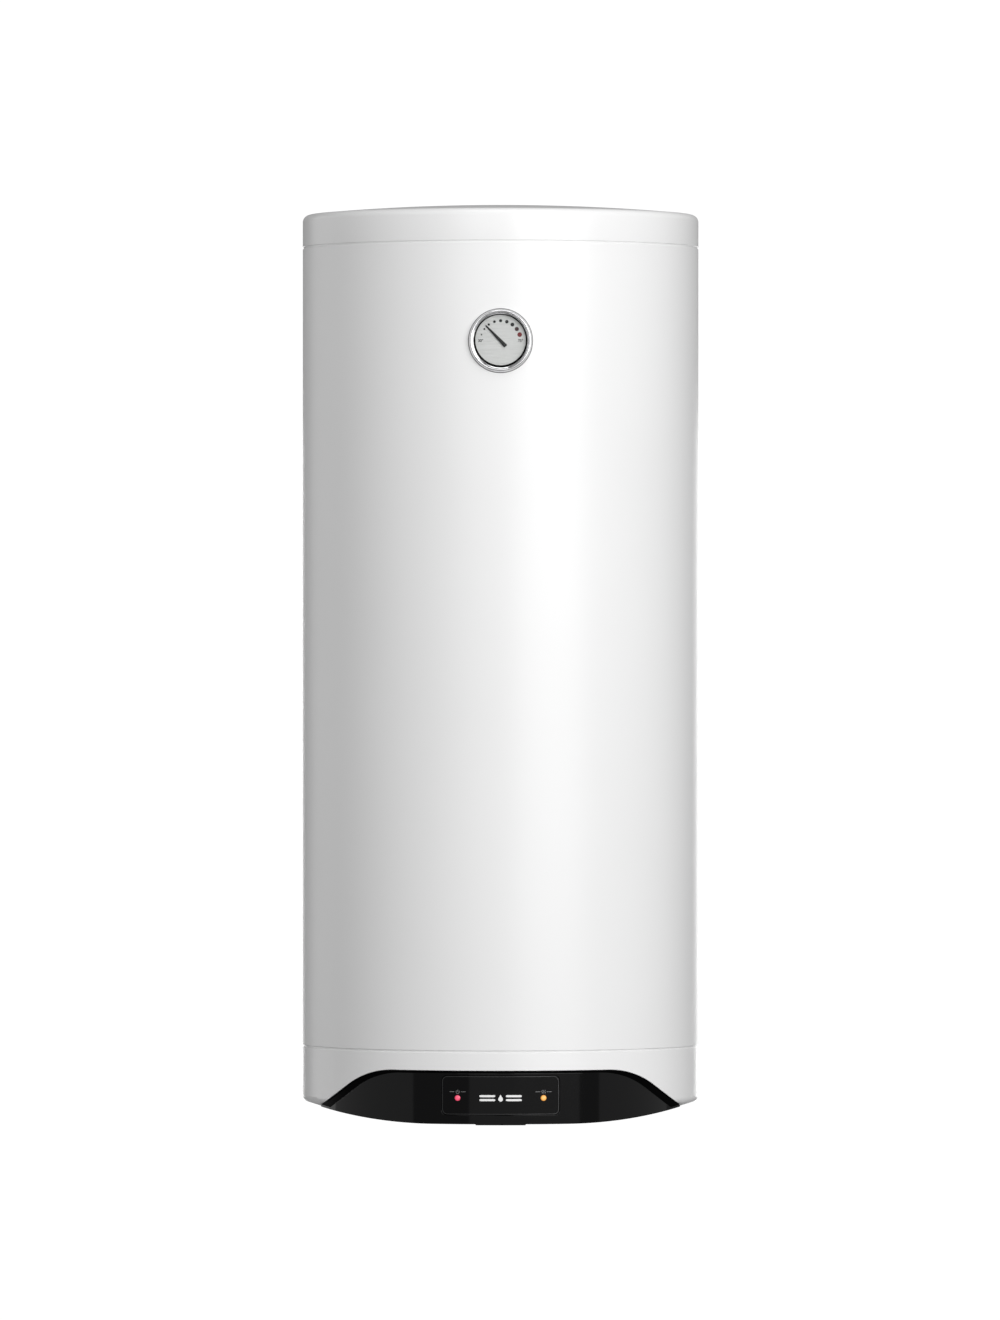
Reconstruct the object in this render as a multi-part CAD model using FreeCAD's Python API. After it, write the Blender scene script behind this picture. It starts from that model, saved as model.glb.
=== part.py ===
"""Wall-hung electric storage water heater, about 100 litres.

Millimetres, +Z up. The front faces -Y. The origin is the centre of the four wall-bolt holes, on the
wall plane Y = 0. The round casing stands on a vertical axis at Y = AXIS_Y. "Depth" below is the distance
from that axis towards the front, so a point at depth d lies at Y = AXIS_Y - d.
"""
import FreeCAD
import Part

import math
import os

Vec = FreeCAD.Vector

# Casing
CASE_R = 225.0
WALL_GAP = 20.0
AXIS_Y = -(CASE_R + WALL_GAP)
JACKET_T = 1.0
EDGE_R = 0.8
SOFT_R = 0.5
TINY = 0.01
SHORT_EDGE = 5.0
JACKET_TOP = 470.6
JACKET_BOTTOM = -433.4
SEAM = 1.8
COVER_T = 2.0
LIP_R = 223.9
LIP_T = 2.4
TOP_WALL = 501.0
TOP_RIM_R = 8.0
TOP_CROWN = 519.0
TOP_SAG = 10.0

# Bottom cover
FLOOR_Z = -503.0
FLOOR_T = 2.5
FLOOR_R = 204.0
RIM_IN = 190.0
PANEL_R = 203.0
PANEL_GAP = 0.3
FLOOR_SLOPE = 18.0
HEEL_R = 8.0
ARCH_TOP = -455.5
ARCH_FLAT = 121.0
ARCH_R = 80.0
ARCH_TURN = 39.0
ARCH_HALF = 204.0
ARCH_DEPTH = 62.0
BAY_HALF = 85.0
BAY_NEAR = -60.0
BAY_FAR = -140.0
BAY_CEILING = -466.0
BAY_EDGE_R = 1.0
SCREW_ANGLES = (-75.0, -25.0, 25.0, 75.0)
SCREW_R = 2.0
SCREW_HEAD_R = 4.0
SCREW_HEAD_H = 2.2
SCREW_Z = -446.0
TAB_R = 221.2
TAB_T = 2.0

# Fascia and lamps
FASCIA_R = 224.4
FASCIA_T = 3.0
FASCIA_GAP = 0.6
FASCIA_HALF = 202.6
CHIN_Z = -515.3
CHIN_FLAT = 75.0
CHIN_R = 560.0
CHIN_T = 2.5
BAND_DEPTH = 1.5
BAND_TOP = -458.4
BAND_FLAT = 112.0
BAND_R = 78.0
GRIP_HALF = 28.0
GRIP_DROP = 1.1
WINDOW_W = 131.5
WINDOW_H = 43.6
WINDOW_R = 6.0
WINDOW_Z = -483.0
WINDOW_OUT = 224.9
LAMP_X = 48.0
LAMP_Z = -486.0
LAMP_R = 3.25
LAMP_LENGTH = 9.0
LAMP_SLACK = 0.75
LENS_PROUD = 0.8
BOARD_DEPTH = 204.0
BOARD_T = 1.6

# Vessel
TANK_R = 196.0
TANK_T = 2.5
KNUCKLE_R = 40.0
CROWN_R = 2 * TANK_R
SHELL_BOTTOM = -322.0
SHELL_TOP = 402.0
FOAM_TOP = 498.0
PLATE_Z = -424.0
PLATE_T = 2.0

# Flange at the bottom of the vessel
NECK_R = 53.0
NECK_IN = 50.0
COLLAR_R = 72.0
COLLAR_TOP = -404.0
COLLAR_T = 8.0
STUD_R = 4.0
STUD_PCD = 61.0
STUD_COUNT = 6
STUD_END = -436.0
GASKET_T = 3.0
FLANGE_T = 5.0
GASKET_TOP = COLLAR_TOP - COLLAR_T
FLANGE_TOP = GASKET_TOP - GASKET_T
FLANGE_LOW = FLANGE_TOP - FLANGE_T
NUT_AF = 13.0
NUT_H = 6.5

# Parts on the flange
ELEMENT_R = 4.0
ELEMENT_X = 36.0
ELEMENT_BEND = 12.0
ELEMENT_D = -14.0
ELEMENT_TOP = -150.0
ELEMENT_LOW = -380.0
ELEMENT_END = -432.0
POCKET_R = 5.0
POCKET_IN = 4.0
POCKET_X = 12.0
POCKET_D = 12.0
POCKET_TOP = -240.0
ANODE_R = 11.0
ANODE_D = 32.0
ANODE_TOP = -150.0
ANODE_FOOT = -402.0

# Thermostat, knob and reset button
STAT_HALF = 28.0
STAT_NEAR = 30.0
STAT_FAR = -6.0
STAT_TOP = -430.0
STAT_BOTTOM = -468.0
SPINDLE_X = -12.0
SPINDLE_R = 3.0
RUNNING = 0.05
BUSH_R = 5.0
BUSH_END = -474.0
KNOB_R = 16.0
KNOB_TOP = -501.5
KNOB_BOTTOM = -511.0
SPINDLE_LOW = KNOB_TOP - 6
FLUTES = 18
FLUTE_R = 1.4
BUTTON_X = 16.0
BUTTON_R = 2.5
BUTTON_FLANGE_R = 3.5
BUTTON_END = -471.0
BUTTON_TOP = STAT_BOTTOM + 4.1
SPRING_TOP = -452.0
SPRING_WIRE = 0.3
SPRING_R = 2.6
SPRING_TURNS = 5

# Terminal block and wires
BLOCK_X0 = 88.0
BLOCK_X1 = 132.0
BLOCK_HALF = 12.0
BLOCK_LOW = PLATE_Z - 22
POLE_GAP = 14.0
EARTH_X = 70.0
EARTH_D = 60.0
EARTH_H = 4.0
TERMINAL_END = ELEMENT_END - 8
WIRE_R = 1.2
WIRE_BEND = 7.0

# Pipes
PIPE_X = 50.0
PIPE_D = -90.0
THREAD_R = 10.48
THREAD_L = 24.0
NIPPLE_R = 10.0
PIPE_BORE = 8.0
PIPE_END = -512.0
NIPPLE_TOP = -370.0
OUTLET_R = 9.0
OUTLET_TOP = 455.0
SLEEVE_IN = 6.8
SLEEVE_L = 32.0

# Cable gland in the ceiling of the pipe bay
GLAND_D = -100.0
GLAND_BORE = 4.0
GLAND_THREAD_R = 8.0
GLAND_AF = 22.0
GLAND_END = -490.0
GLAND_TOP = -452.0

# Thermometer
DIAL_Z = 360.0
CUP_R = 32.8
CUP_IN = 31.8
CUP_BACK = 208.0
CUP_FRONT = 226.4
BEZEL_R = 35.5
BEZEL_IN = 30.0
BEZEL_FRONT = 229.0
DIAL_BACK = 219.0
DIAL_T = 0.8
POINTER_BACK = 221.2
POINTER_T = 0.7
POINTER_LENGTH = 24.0
POINTER_TAIL = 8.6
POINTER_TAIL_W = 3.8
POINTER_TIP_W = 0.9
POINTER_REST = 44.0
ARBOR_R = 1.0
STEM_R = 4.0
COIL_R = 2.4
COIL_PITCH = 2.2
COIL_HALF_TURNS = 8

# Wall brackets
BOLT_X = 150.0
BOLT_Z = 300.0
BOLT_HOLE_R = 6.5
BRACKET_HALF = 180.0
BRACKET_H = 50.0
BRACKET_T = 3.0
WEB_X = 70.0
PAD_END = 30.0
PAD_BOLT = 24.0
BOSS_R = 10.0
HEAD_H = 5.3


def at(x, depth, z):
    """A point given by its depth in front of the casing's axis."""
    return Vec(x, AXIS_Y - depth, z)


def post(r, z0, z1, x=0.0, depth=0.0):
    """A vertical cylinder."""
    return Part.makeCylinder(r, z1 - z0, at(x, depth, z0))


def pipe(r_out, r_in, z0, z1, x=0.0, depth=0.0):
    """A vertical tube."""
    return post(r_out, z0, z1, x, depth).cut(post(r_in, z0, z1, x, depth))


def rod(r, d0, d1, x=0.0, z=0.0):
    """A cylinder that runs from depth d0 forward to depth d1."""
    return Part.makeCylinder(r, d1 - d0, at(x, d0, z), Vec(0, -1, 0))


def ring(r_out, r_in, d0, d1, x=0.0, z=0.0):
    """A tube that runs from depth d0 forward to depth d1."""
    return rod(r_out, d0, d1, x, z).cut(rod(r_in, d0, d1, x, z))


def spoke(r, r0, r1, angle, z):
    """A cylinder along a radius of the casing, at an angle from the rear (+Y) towards +X."""
    turn = math.radians(angle)
    way = Vec(math.sin(turn), math.cos(turn), 0)
    return Part.makeCylinder(r, r1 - r0, at(0, 0, z) + way * r0, way)


def block(x0, x1, d0, d1, z0, z1):
    """A box between two depths."""
    return Part.makeBox(x1 - x0, d1 - d0, z1 - z0, at(x0, d1, z0))


def sector(r_out, r_in, z0, z1, middle, spread):
    """Part of an upright tube about the casing's axis, centred on an angle from the rear towards +X."""
    start = 90.0 - middle - spread / 2
    solid = Part.makeCylinder(r_out, z1 - z0, at(0, 0, z0), Vec(0, 0, 1), spread)
    solid = solid.cut(post(r_in, z0, z1))
    solid.rotate(at(0, 0, 0), Vec(0, 0, 1), start)
    return solid


def hexagon(across, z0, z1, x=0.0, depth=0.0):
    """A hexagonal prism across flats."""
    r = across / math.sqrt(3)
    angles = [math.radians(60 * i) for i in range(7)]
    corners = [at(x + r * math.cos(a), depth + r * math.sin(a), z0) for a in angles]
    return Part.Face(Part.makePolygon(corners)).extrude(Vec(0, 0, z1 - z0))


class Outline:
    """A closed outline of lines and arcs in two coordinates."""

    def __init__(self, u, v):
        self.first = (u, v)
        self.here = (u, v)
        self.steps = []

    def line(self, u, v):
        """A line to (u, v), unless the outline is already there."""
        if math.dist(self.here, (u, v)) > 1e-6:
            self.steps.append((self.here, None, (u, v)))
            self.here = (u, v)
        return self

    def arc(self, u, v, r, a0, a1):
        """An arc about (u, v) between two angles in degrees, after a line to its start."""
        def on(a):
            return (u + r * math.cos(math.radians(a)), v + r * math.sin(math.radians(a)))

        self.line(*on(a0))
        self.steps.append((self.here, on((a0 + a1) / 2), on(a1)))
        self.here = on(a1)
        return self

    def face(self, place):
        self.line(*self.first)
        edges = []
        for start, middle, end in self.steps:
            if middle is None:
                edges.append(Part.makeLine(place(*start), place(*end)))
            else:
                edges.append(Part.Arc(place(*start), place(*middle), place(*end)).toShape())
        return Part.Face(Part.Wire(edges))

    def turned(self):
        """A solid of revolution about the casing's axis; the outline is (radius, height)."""
        return self.face(lambda r, z: at(r, 0, z)).revolve(at(0, 0, 0), Vec(0, 0, 1), 360)

    def dial_turned(self):
        """A solid of revolution about the thermometer's axis; the outline is (radius, depth)."""
        face = self.face(lambda r, d: at(r, d, DIAL_Z))
        return face.revolve(at(0, 0, DIAL_Z), Vec(0, -1, 0), 360)

    def prism(self, d0, d1):
        """A prism between two depths; the outline is (x, height)."""
        return self.face(lambda x, z: at(x, d0, z)).extrude(Vec(0, d0 - d1, 0))


def rounded(shape, radius, wanted):
    """Rounds the edges whose middle, as radius from the axis, depth and height, is wanted."""
    edges = []
    for edge in shape.Edges:
        middle = edge.valueAt((edge.FirstParameter + edge.LastParameter) / 2)
        depth = AXIS_Y - middle.y
        if edge.Length > SHORT_EDGE and wanted(math.hypot(middle.x, depth), depth, middle.z):
            edges.append(edge)
    return shape.makeFillet(radius, edges)


def save(node, *solids):
    shape = solids[0] if len(solids) == 1 else Part.makeCompound(list(solids))
    print(node, shape.isValid(), len(shape.Solids), round(shape.Volume))
    shape.exportStep("parts/" + node + ".step")


# ---- casing ----

def jacket():
    """A rolled sheet with softened edges, a hole for the thermometer and four for the brackets."""
    inner = CASE_R - JACKET_T
    wall = Outline(inner, JACKET_BOTTOM)
    wall.arc(CASE_R - EDGE_R, JACKET_BOTTOM + EDGE_R, EDGE_R, -90, 0)
    wall.arc(CASE_R - EDGE_R, JACKET_TOP - EDGE_R, EDGE_R, 0, 90)
    shell = wall.line(inner, JACKET_TOP).turned()
    shell = shell.cut(rod(CUP_R, 0, CASE_R + 1, 0, DIAL_Z))
    for z in (-BOLT_Z, BOLT_Z):
        for angle in (-PAD_BOLT, PAD_BOLT):
            shell = shell.cut(spoke(STUD_R, TANK_R, CASE_R + 1, angle, z))
    return shell


def top_cover():
    """A pressed lid: wall, rounded rim and shallow crown, with a lip inside the jacket."""
    rim = CASE_R - TOP_RIM_R
    crown = (rim**2 + TOP_SAG**2) / (2 * TOP_SAG)
    middle = TOP_CROWN - crown
    edge = math.degrees(math.asin(rim / crown))
    low = JACKET_TOP + SEAM
    inner = TOP_RIM_R - COVER_T
    lid = Outline(LIP_R, low)
    lid.arc(CASE_R - EDGE_R, low + EDGE_R, EDGE_R, -90, 0)
    lid.arc(rim, TOP_WALL, TOP_RIM_R, 0, 90)
    lid.arc(0, middle, crown, 90 - edge, 90)
    lid.line(0, TOP_CROWN - COVER_T)
    lid.arc(0, middle, crown - COVER_T, 90, 90 - edge)
    lid.arc(rim, TOP_WALL, inner, 90, 0)
    lid.line(CASE_R - COVER_T, low + 6)
    lid.line(LIP_R - LIP_T, low + 4)
    lid.line(LIP_R - LIP_T, JACKET_TOP - 10)
    lid.line(LIP_R, JACKET_TOP - 10)
    lid.line(LIP_R, low)
    return lid.turned()


def arch(gap, low):
    """The opening at the front of the bottom cover, narrower by a gap, down to a height."""
    turn = math.radians(ARCH_TURN)
    r = ARCH_R - gap
    foot = ARCH_TOP - ARCH_R + r * math.cos(turn)
    half = ARCH_FLAT + r * math.sin(turn)
    side = ARCH_HALF - gap
    tip = foot - (side - half) * math.tan(turn)
    shape = Outline(side, low).line(side, tip)
    shape.arc(ARCH_FLAT, ARCH_TOP - ARCH_R, r, 90 - ARCH_TURN, 90)
    shape.arc(-ARCH_FLAT, ARCH_TOP - ARCH_R, r, 90, 90 + ARCH_TURN)
    return shape.line(-side, tip).line(-side, low)


def cover_shell():
    """The dished bottom cover before any opening is cut."""
    slope = math.radians(FLOOR_SLOPE)
    corner = FLOOR_Z + (CASE_R - FLOOR_R) * math.tan(slope)
    heel_z = corner + HEEL_R * math.tan((math.pi / 2 - slope) / 2)
    heel_x = CASE_R - HEEL_R
    turn = FLOOR_SLOPE - 90
    top = JACKET_BOTTOM - SEAM
    dish = Outline(LIP_R, top)
    dish.arc(CASE_R - EDGE_R, top - EDGE_R, EDGE_R, 90, 0)
    dish.arc(heel_x, heel_z, HEEL_R, 0, turn)
    dish.line(FLOOR_R, FLOOR_Z).line(RIM_IN, FLOOR_Z).line(RIM_IN, FLOOR_Z + FLOOR_T)
    dish.line(FLOOR_R - FLOOR_T * math.tan(slope / 2), FLOOR_Z + FLOOR_T)
    dish.arc(heel_x, heel_z, HEEL_R - FLOOR_T, turn, 0)
    dish.line(CASE_R - FLOOR_T, top - 5).line(LIP_R - LIP_T, top - 3)
    dish.line(LIP_R - LIP_T, PLATE_Z - 1).line(LIP_R, PLATE_Z - 1).line(LIP_R, top)
    return dish.turned()


def bottom_cover():
    """The white skirt with its arch, a rounded heel and an inner rim that holds the underside panel."""
    cover = cover_shell()
    cover = cover.cut(arch(0, 2 * FLOOR_Z).prism(ARCH_DEPTH, CASE_R + 5))
    for angle in SCREW_ANGLES:
        cover = cover.cut(spoke(SCREW_R, CASE_R - 20, CASE_R + 1, angle, SCREW_Z))

    def arch_edge(r, depth, z):
        return abs(r - CASE_R) < TINY and depth > ARCH_DEPTH and z < ARCH_TOP + TINY

    return rounded(cover.removeSplitter(), SOFT_R, arch_edge)


def underside_panel():
    """The flat panel under the controls, open for the pipe tray and the thermostat spindle."""
    low = FLOOR_Z + FLOOR_T
    high = low + FLOOR_T
    half = BAY_HALF + FLOOR_T
    panel = post(PANEL_R, low, high)
    panel = panel.cut(block(-CASE_R, CASE_R, ARCH_DEPTH - PANEL_GAP, CASE_R, low, high))
    panel = panel.cut(block(-half, half, BAY_FAR - FLOOR_T, BAY_NEAR + FLOOR_T, low, high))
    return panel.cut(post(SPINDLE_R + 1.5, low, high, SPINDLE_X, POCKET_D))


def pipe_tray():
    """A box sunk into the underside, open below, that the pipes and the cable gland pass through."""
    wall = FLOOR_T
    half = BAY_HALF + wall
    tray = block(-half, half, BAY_FAR - wall, BAY_NEAR + wall, FLOOR_Z, BAY_CEILING + wall)
    tray = tray.cut(block(-BAY_HALF, BAY_HALF, BAY_FAR, BAY_NEAR, FLOOR_Z, BAY_CEILING))
    for x in (-PIPE_X, PIPE_X):
        tray = tray.cut(post(NIPPLE_R + 1, BAY_CEILING, PLATE_Z, x, PIPE_D))
    tray = tray.cut(post(GLAND_THREAD_R, BAY_CEILING, PLATE_Z, 0, GLAND_D))

    def mouth(r, depth, z):
        return abs(z - FLOOR_Z) < TINY

    return rounded(tray, BAY_EDGE_R, mouth)


def base_plate():
    """The steel disc that closes the foam from below, with tabs for the cover screws."""
    plate = post(CASE_R - JACKET_T, PLATE_Z, PLATE_Z + PLATE_T)
    plate = plate.cut(post(COLLAR_R + 6, PLATE_Z, PLATE_Z + PLATE_T))
    for x in (-PIPE_X, PIPE_X):
        plate = plate.cut(post(NIPPLE_R, PLATE_Z, PLATE_Z + PLATE_T, x, PIPE_D))
    for angle in SCREW_ANGLES:
        tab = sector(TAB_R, TAB_R - TAB_T, SCREW_Z - 8, PLATE_Z, angle, 6)
        plate = plate.fuse(tab.cut(spoke(SCREW_R, TAB_R - 20, CASE_R, angle, SCREW_Z)))
    return plate.removeSplitter()


def cover_screws():
    """Screws round the back and sides of the bottom cover, into the tabs of the base plate."""
    screws = []
    for angle in SCREW_ANGLES:
        shank = spoke(SCREW_R, TAB_R - 8, CASE_R, angle, SCREW_Z)
        head = spoke(SCREW_HEAD_R, CASE_R, CASE_R + SCREW_HEAD_H, angle, SCREW_Z)
        screws.append(shank.fuse(head).removeSplitter())
    return screws


# ---- fascia ----

def chin(lift, top):
    """The area above the lower edge of the fascia, raised by a lift, up to a height."""
    low = CHIN_Z + lift
    turn = math.degrees(math.asin((FASCIA_HALF - CHIN_FLAT) / CHIN_R))
    shape = Outline(-FASCIA_HALF, top)
    shape.arc(-CHIN_FLAT, low + CHIN_R, CHIN_R, -90 - turn, -90)
    shape.arc(CHIN_FLAT, low + CHIN_R, CHIN_R, -90, -90 + turn)
    return shape.line(FASCIA_HALF, top)


def raised_face():
    """The outline of the fascia inside its sunk border."""
    turn = math.radians(ARCH_TURN)
    foot_x = BAND_FLAT + BAND_R * math.sin(turn)
    foot_z = BAND_TOP - BAND_R + BAND_R * math.cos(turn)
    low = CHIN_Z - 10
    half = foot_x + (foot_z - low) / math.tan(turn)
    shape = Outline(half, low)
    shape.arc(BAND_FLAT, BAND_TOP - BAND_R, BAND_R, 90 - ARCH_TURN, 90)
    shape.arc(-BAND_FLAT, BAND_TOP - BAND_R, BAND_R, 90, 90 + ARCH_TURN)
    return shape.line(-half, low)


def window_outline(gap):
    half = WINDOW_W / 2 + gap - WINDOW_R
    high = WINDOW_H / 2 + gap - WINDOW_R
    shape = Outline(half + WINDOW_R, WINDOW_Z - high)
    for i, (x, z) in enumerate([(half, high), (-half, high), (-half, -high), (half, -high)]):
        shape.arc(x, WINDOW_Z + z, WINDOW_R, 90 * i, 90 * i + 90)
    return shape


def fascia():
    """The black front: a curved face, a floor that follows its lower edge, and a riser behind."""
    near = CASE_R + 5
    body = post(FASCIA_R, CHIN_Z - 5, ARCH_TOP)
    hollow = post(FASCIA_R - FASCIA_T, CHIN_Z - 5, ARCH_TOP)
    area = chin(0, ARCH_TOP + 1).prism(0, near)
    opening = arch(FASCIA_GAP, CHIN_Z - 5).prism(0, near)
    face = body.cut(hollow).common(area)
    skin = body.cut(post(FASCIA_R - BAND_DEPTH, CHIN_Z - 5, ARCH_TOP))
    face = face.cut(skin.cut(raised_face().prism(0, near)))
    back = ARCH_DEPTH + 0.3
    floor = chin(0, ARCH_TOP).prism(back, near).cut(chin(CHIN_T, ARCH_TOP + 1).prism(back, near))
    riser = chin(0, FLOOR_Z + 4).prism(back, back + CHIN_T)
    grip = block(-GRIP_HALF, GRIP_HALF, CASE_R - 24, near, CHIN_Z - GRIP_DROP, CHIN_Z + 1)
    shape = face.fuse([floor.common(body), riser, grip.common(body)]).common(opening)
    pocket = skin.common(window_outline(0.3).prism(ARCH_DEPTH, near))
    shape = shape.cut(pocket)
    for x in (-LAMP_X, LAMP_X):
        shape = shape.cut(rod(LAMP_R, BOARD_DEPTH, near, x, LAMP_Z))
    for x in (-LAMP_X / 2, LAMP_X / 2):
        peg = rod(3, BOARD_DEPTH + BOARD_T, CASE_R, x, LAMP_Z).common(hollow)
        shape = shape.fuse(peg)

    def face_edge(r, depth, z):
        return abs(r - FASCIA_R) < TINY and depth > ARCH_DEPTH and z > CHIN_Z + 20

    return rounded(shape.removeSplitter(), SOFT_R, face_edge)


def indicator_window():
    """A curved pane over the lamps, bored for their lenses, with a soft outer edge."""
    inner = FASCIA_R - BAND_DEPTH
    pane = post(WINDOW_OUT, CHIN_Z, ARCH_TOP).cut(post(inner, CHIN_Z, ARCH_TOP))
    pane = pane.common(window_outline(0).prism(ARCH_DEPTH, CASE_R + 5))
    for x in (-LAMP_X, LAMP_X):
        pane = pane.cut(rod(LAMP_R, BOARD_DEPTH, CASE_R + 5, x, LAMP_Z))

    def rim(r, depth, z):
        return abs(r - WINDOW_OUT) < TINY and abs(z - WINDOW_Z) > 2 * LAMP_R

    return rounded(pane, SOFT_R / 2, rim)


def lens(x):
    """A lamp's light pipe with a domed end just proud of the window."""
    face = math.sqrt(WINDOW_OUT**2 - x**2)
    crown = 2 * LAMP_R
    middle = face + LENS_PROUD - crown
    stick = rod(LAMP_R, BOARD_DEPTH + LAMP_LENGTH, face + 1, x, LAMP_Z)
    return stick.common(Part.makeSphere(crown, at(x, middle, LAMP_Z)).fuse(rod(crown, 0, middle, x, LAMP_Z)))


def lamps():
    """Two lamps that stand on the board and meet the backs of their lenses."""
    start = BOARD_DEPTH + BOARD_T
    return [rod(LAMP_R - LAMP_SLACK, start, BOARD_DEPTH + LAMP_LENGTH, x, LAMP_Z) for x in (-LAMP_X, LAMP_X)]


def indicator_board():
    return block(-LAMP_X - 10, LAMP_X + 10, BOARD_DEPTH, BOARD_DEPTH + BOARD_T, LAMP_Z - 11, LAMP_Z + 13)


# ---- vessel ----

def dome_outline(z, up, thickness):
    """Half the section of a dished end: crown arc and knuckle arc, from a base height."""
    drop = math.sqrt((CROWN_R - KNUCKLE_R) ** 2 - (TANK_R - KNUCKLE_R) ** 2)
    lean = math.degrees(math.atan2(drop, TANK_R - KNUCKLE_R))
    centre = z - up * drop
    shape = Outline(TANK_R, z)
    shape.arc(TANK_R - KNUCKLE_R, z, KNUCKLE_R, 0, up * lean)
    shape.arc(0, centre, CROWN_R, up * lean, up * 90)
    if thickness == TANK_R:
        return shape.line(0, z)
    shape.arc(0, centre, CROWN_R - thickness, up * 90, up * lean)
    return shape.arc(TANK_R - KNUCKLE_R, z, KNUCKLE_R - thickness, up * lean, 0)


def tank_bottom_dome():
    dome = dome_outline(SHELL_BOTTOM, -1, TANK_T).turned()
    dome = dome.cut(post(NECK_R, COLLAR_TOP, SHELL_BOTTOM))
    for x in (-PIPE_X, PIPE_X):
        dome = dome.cut(post(NIPPLE_R, COLLAR_TOP, SHELL_BOTTOM, x, PIPE_D))
    return dome


def bosses():
    """Threaded bosses on the vessel that carry the wall brackets."""
    solids = []
    for z in (-BOLT_Z, BOLT_Z):
        layer = pipe(CASE_R - JACKET_T, TANK_R, z - 2 * BOSS_R, z + 2 * BOSS_R)
        for angle in (-PAD_BOLT, PAD_BOLT):
            boss = spoke(BOSS_R, TANK_R - 10, CASE_R + 10, angle, z).common(layer)
            solids.append(boss.cut(spoke(STUD_R, TANK_R + 6, CASE_R + 10, angle, z)))
    return solids


def foam():
    """Foam between the vessel and the casing, open around the flange."""
    body = post(CASE_R - JACKET_T, PLATE_Z + PLATE_T, JACKET_TOP - 12)
    body = body.fuse(post(LIP_R - LIP_T - 0.1, JACKET_TOP - 12, FOAM_TOP)).removeSplitter()
    body = body.cut(post(TANK_R, SHELL_BOTTOM, SHELL_TOP))
    body = body.cut(dome_outline(SHELL_TOP, 1, TANK_R).turned())
    body = body.cut(dome_outline(SHELL_BOTTOM, -1, TANK_R).turned())
    body = body.cut(post(COLLAR_R + 6, PLATE_Z, SHELL_BOTTOM))
    for x in (-PIPE_X, PIPE_X):
        body = body.cut(post(NIPPLE_R, PLATE_Z, SHELL_BOTTOM, x, PIPE_D))
    body = body.cut(rod(CUP_R, CUP_BACK, CASE_R, 0, DIAL_Z))
    body = body.cut(rod(STEM_R, 0, CUP_BACK, 0, DIAL_Z))
    for z in (-BOLT_Z, BOLT_Z):
        for angle in (-PAD_BOLT, PAD_BOLT):
            body = body.cut(spoke(BOSS_R, TANK_R - 10, CASE_R, angle, z))
    return body


# ---- flange group ----

def around(count, r):
    """Evenly spaced places about the casing's axis, as x and depth."""
    turns = [2 * math.pi * (i + 0.5) / count for i in range(count)]
    return [(r * math.cos(t), r * math.sin(t)) for t in turns]


def flange_neck():
    neck = pipe(NECK_R, NECK_IN, COLLAR_TOP, ELEMENT_LOW - 5)
    return neck.fuse(pipe(COLLAR_R, NECK_IN, COLLAR_TOP - COLLAR_T, COLLAR_TOP)).removeSplitter()


def flange_plate():
    plate = post(COLLAR_R, FLANGE_LOW, FLANGE_TOP)
    holes = [(x, d, STUD_R + 0.5) for x, d in around(STUD_COUNT, STUD_PCD)]
    holes += [(x, ELEMENT_D, ELEMENT_R) for x in (-ELEMENT_X, ELEMENT_X)]
    holes += [(x, POCKET_D, POCKET_R) for x in (-POCKET_X, POCKET_X)]
    holes += [(0, ANODE_D, STUD_R)]
    for x, d, r in holes:
        plate = plate.cut(post(r, FLANGE_LOW, FLANGE_TOP, x, d))
    return plate


def nut(x, depth):
    return hexagon(NUT_AF, FLANGE_LOW - NUT_H, FLANGE_LOW, x, depth).cut(
        post(STUD_R, FLANGE_LOW - NUT_H, FLANGE_LOW, x, depth)
    )


def heating_element():
    """A sheathed rod folded three times: four legs in one plane."""
    low = ELEMENT_LOW
    legs = [-ELEMENT_X, -ELEMENT_X / 3, ELEMENT_X / 3, ELEMENT_X]
    stops = [ELEMENT_END, ELEMENT_TOP, low, ELEMENT_TOP, ELEMENT_END]
    edges = []
    for i, (x, z0, z1) in enumerate(zip(legs, stops, stops[1:])):
        edges.append(Part.makeLine(at(x, ELEMENT_D, z0), at(x, ELEMENT_D, z1)))
        if i < 3:
            bulge = ELEMENT_BEND if z1 == ELEMENT_TOP else -ELEMENT_BEND
            middle = at(x + ELEMENT_BEND, ELEMENT_D, z1 + bulge)
            end = at(x + 2 * ELEMENT_BEND, ELEMENT_D, z1)
            edges.append(Part.Arc(at(x, ELEMENT_D, z1), middle, end).toShape())
    start = at(-ELEMENT_X, ELEMENT_D, ELEMENT_END)
    section = Part.Wire(Part.makeCircle(ELEMENT_R, start, Vec(0, 0, 1)))
    return Part.Wire(edges).makePipeShell([section], True, True)


def pockets():
    solids = []
    for x in (-POCKET_X, POCKET_X):
        tube = post(POCKET_R, FLANGE_LOW, POCKET_TOP, x, POCKET_D)
        solids.append(tube.cut(post(POCKET_IN, FLANGE_LOW, POCKET_TOP - 2, x, POCKET_D)))
    return solids


def anode():
    core = post(STUD_R, FLANGE_LOW - NUT_H - 1.5, ANODE_FOOT, 0, ANODE_D)
    return core.fuse(post(ANODE_R, ANODE_FOOT, ANODE_TOP, 0, ANODE_D)).removeSplitter()


# ---- thermostat ----

def thermostat_body():
    body = block(-STAT_HALF, STAT_HALF, STAT_FAR, STAT_NEAR, STAT_BOTTOM, STAT_TOP)
    body = body.fuse(post(BUSH_R, BUSH_END, STAT_BOTTOM, SPINDLE_X, POCKET_D))
    body = body.cut(post(SPINDLE_R + RUNNING, BUSH_END, STAT_BOTTOM + 13, SPINDLE_X, POCKET_D))
    body = body.cut(post(BUTTON_R + RUNNING, STAT_BOTTOM, STAT_BOTTOM + 2, BUTTON_X, POCKET_D))
    return body.cut(
        post(BUTTON_FLANGE_R + RUNNING, STAT_BOTTOM + 2, SPRING_TOP, BUTTON_X, POCKET_D)
    ).removeSplitter()


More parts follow.
